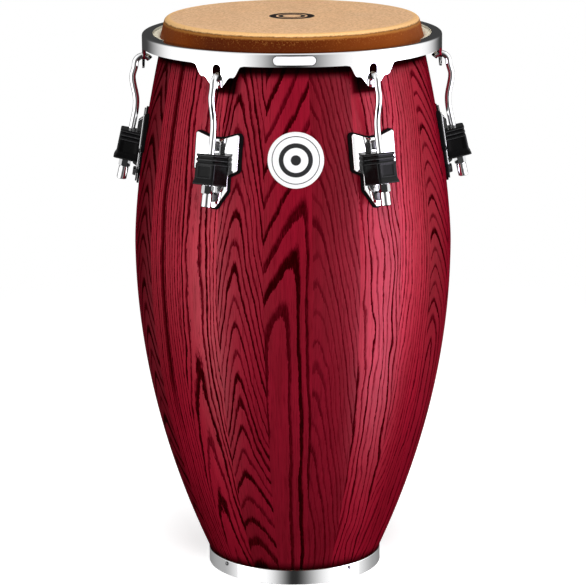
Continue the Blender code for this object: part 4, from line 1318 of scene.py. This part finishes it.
def makeCamera():
    shape = cameraSet
    data = bpy.data.cameras.new("camera")
    data.sensor_width = 36
    data.lens = shape["focal"] / shape["frame"] * data.sensor_width
    data.shift_x = shape["shift"] / shape["frame"]
    aside, ahead = sin(shape["azimuth"]), cos(shape["azimuth"])
    flat = cos(shape["pitch"])
    place = Vector((shape["distance"] * aside, -shape["distance"] * ahead, shape["height"]))
    forward = Vector((-aside * flat, ahead * flat, -sin(shape["pitch"])))
    turn = forward.to_track_quat("-Z", "Y").to_matrix().to_4x4()
    camera = placeObject("camera", data)
    camera.matrix_world = Matrix.Translation(place) @ turn @ Matrix.Rotation(shape["roll"], 4, "Z")
    bpy.context.scene.camera = camera


makeCamera()


# Studio: a white room whose softboxes stand left and right, darker to the front and the back

lightSet = {
    "ambient": 0.07, "room": 1.15, "ceiling": 0.9, "ceilingFrom": (0.65, 0.9),
    # azimuths from the front, in degrees to the right, where each window fades in and out, its
    # brightness, and the heights between which it ends below; the ground's end above
    "windows": {
        "backLow": ((76, 132), (-112, -68), 0.47, (-0.24, -0.31)),
        "backHigh": ((118, 156), (-150, -102), 0.09, (-0.31, -0.24)),
        "ground": (None, None, 0.03, (-0.42, -0.345)),
        "front": ((-44, -4), (0, 52), 0.03, (-0.48, -0.36)),
        "sideRight": ((60, 80), (94, 118), 2.6, (-0.32, -0.24)),
        "stripRight": ((46, 60), (76, 98), 6.6, (-0.72, -0.46)),
        "stripLeft": ((-86, -74), (-62, -48), 4.2, (-0.72, -0.46)),
    },
    "stripTop": (-0.02, 0.26), "rightTint": (1.0, 0.92, 1.16),
    # place, size and power of each lamp
    "lamps": {
        "front": ((0.15, -2.2, 2.1), (1.0, 0.8), 42), "right": ((2.6, -1.5, 1.5), (1.0, 1.2), 15),
        "left": ((-1.1, -2.7, 1.6), (1.0, 1.2), 9), "overhead": ((0.0, 0.1, 2.6), (2.0, 2.0), 11),
        "back": ((0.0, 2.8, 1.6), (1.4, 1.2), 12),
    },
}


# Each window goes over what is there: brightness = brightness + inside * (its own - brightness).
# The camera sees plain white, and diffuse light is the same from all sides.
def makeWorld():
    world = bpy.data.worlds.new("studio")
    bpy.context.scene.world = world
    world.use_nodes = True
    world.node_tree.nodes.clear()
    current["tree"] = world.node_tree
    x, y, z = splitVector(addNode("TexCoord", "Generated"))
    azimuth = calc("ARCTAN2", x, y * -1)
    bright = lightSet["room"]
    for name, (rise, fall, level, ends) in lightSet["windows"].items():
        if name == "ground":
            inside = stepDown(z, *ends)
        else:
            rising = stepUp(azimuth, radians(rise[0]), radians(rise[1]))
            falling = stepDown(azimuth, radians(fall[0]), radians(fall[1]))
            # a window across the back falls before it rises
            inside = rising * falling if fall[0] > rise[0] else rising + falling
            inside = inside * stepUp(z, *ends)
        if name.startswith("strip"):
            inside = inside * stepDown(z, *lightSet["stripTop"])
        bright = inside * (level - bright) + bright
        if name == "stripRight":
            tint = mixColour(inside, (1, 1, 1), lightSet["rightTint"])
    bright = stepUp(z, *lightSet["ceilingFrom"]) * (lightSet["ceiling"] - bright) + bright
    plain = addNode("LightPath", "Is Diffuse Ray") * (lightSet["ambient"] - bright) + bright
    seen = addNode("LightPath", "Is Camera Ray")
    inputs = {"Color": mixColour(seen, tint, (1, 1, 1)), "Strength": seen * (1.0 - plain) + plain}
    feed(world.node_tree.nodes.new("ShaderNodeOutputWorld"), {0: addNode("Background", 0, inputs)})


# The floor is a pale disc that keeps the drum's shadow near it and is plain white beyond
floorSet = {
    "radii": (0.001, 0.4, 1.0, 2.4), "spokes": 96, "height": -0.0004, "colour": (0.80, 0.80, 0.80),
    "glow": (0.62, 0.25), "glowFrom": (0.10, 0.45), "whiteFrom": (0.5, 1.6),
}


def floorRecipe():
    look = floorSet
    x, y, _ = splitVector(objectPlace())
    out = distanceOf(x, y)
    near, more = look["glow"]
    plain = stepUp(out, *look["glowFrom"]) * more + near
    glow = addNode("Emission", 0, {"Strength": plain * addNode("LightPath", "Is Camera Ray")})
    treeNodes = current["tree"].nodes
    added = addNode("AddShader", 0, {0: Output(treeNodes["Principled BSDF"].outputs[0]), 1: glow})
    white = addNode("Emission", 0, {"Strength": 1.0})
    away = addNode("MixShader", 0, {0: stepUp(out, *look["whiteFrom"]), 1: added, 2: white})
    feed(treeNodes["Material Output"], {0: away})
    return {"Base Color": look["colour"], "Roughness": 0.9}


def makeFloor():
    rings = onCircle(np.array(floorSet["radii"])[:, None], evenTurns(floorSet["spokes"]), floorSet["height"])
    mesh = bpy.data.meshes.new("floor")
    mesh.from_pydata(rings.reshape(-1, 3).tolist(), [], gridQuads(*rings.shape[:2]).tolist())
    mesh.materials.append(newMaterial("paleFloor", floorRecipe))
    floor = placeObject("floor", mesh)
    floor.visible_glossy = False


def makeLamps():
    for name, (place, size, power) in lightSet["lamps"].items():
        data = bpy.data.lights.new(name, "AREA")
        data.shape = "RECTANGLE"
        data.size, data.size_y = size
        data.energy = power
        lamp = placeObject(name, data)
        lamp.location = place
        lamp.rotation_euler = (Vector((0, 0, 0.4)) - Vector(place)).to_track_quat("-Z", "Y").to_euler()
        lamp.visible_glossy = False
        lamp.visible_camera = False


makeWorld()
makeFloor()
makeLamps()
bpy.context.scene.view_settings.view_transform = "Standard"
print("studio made")
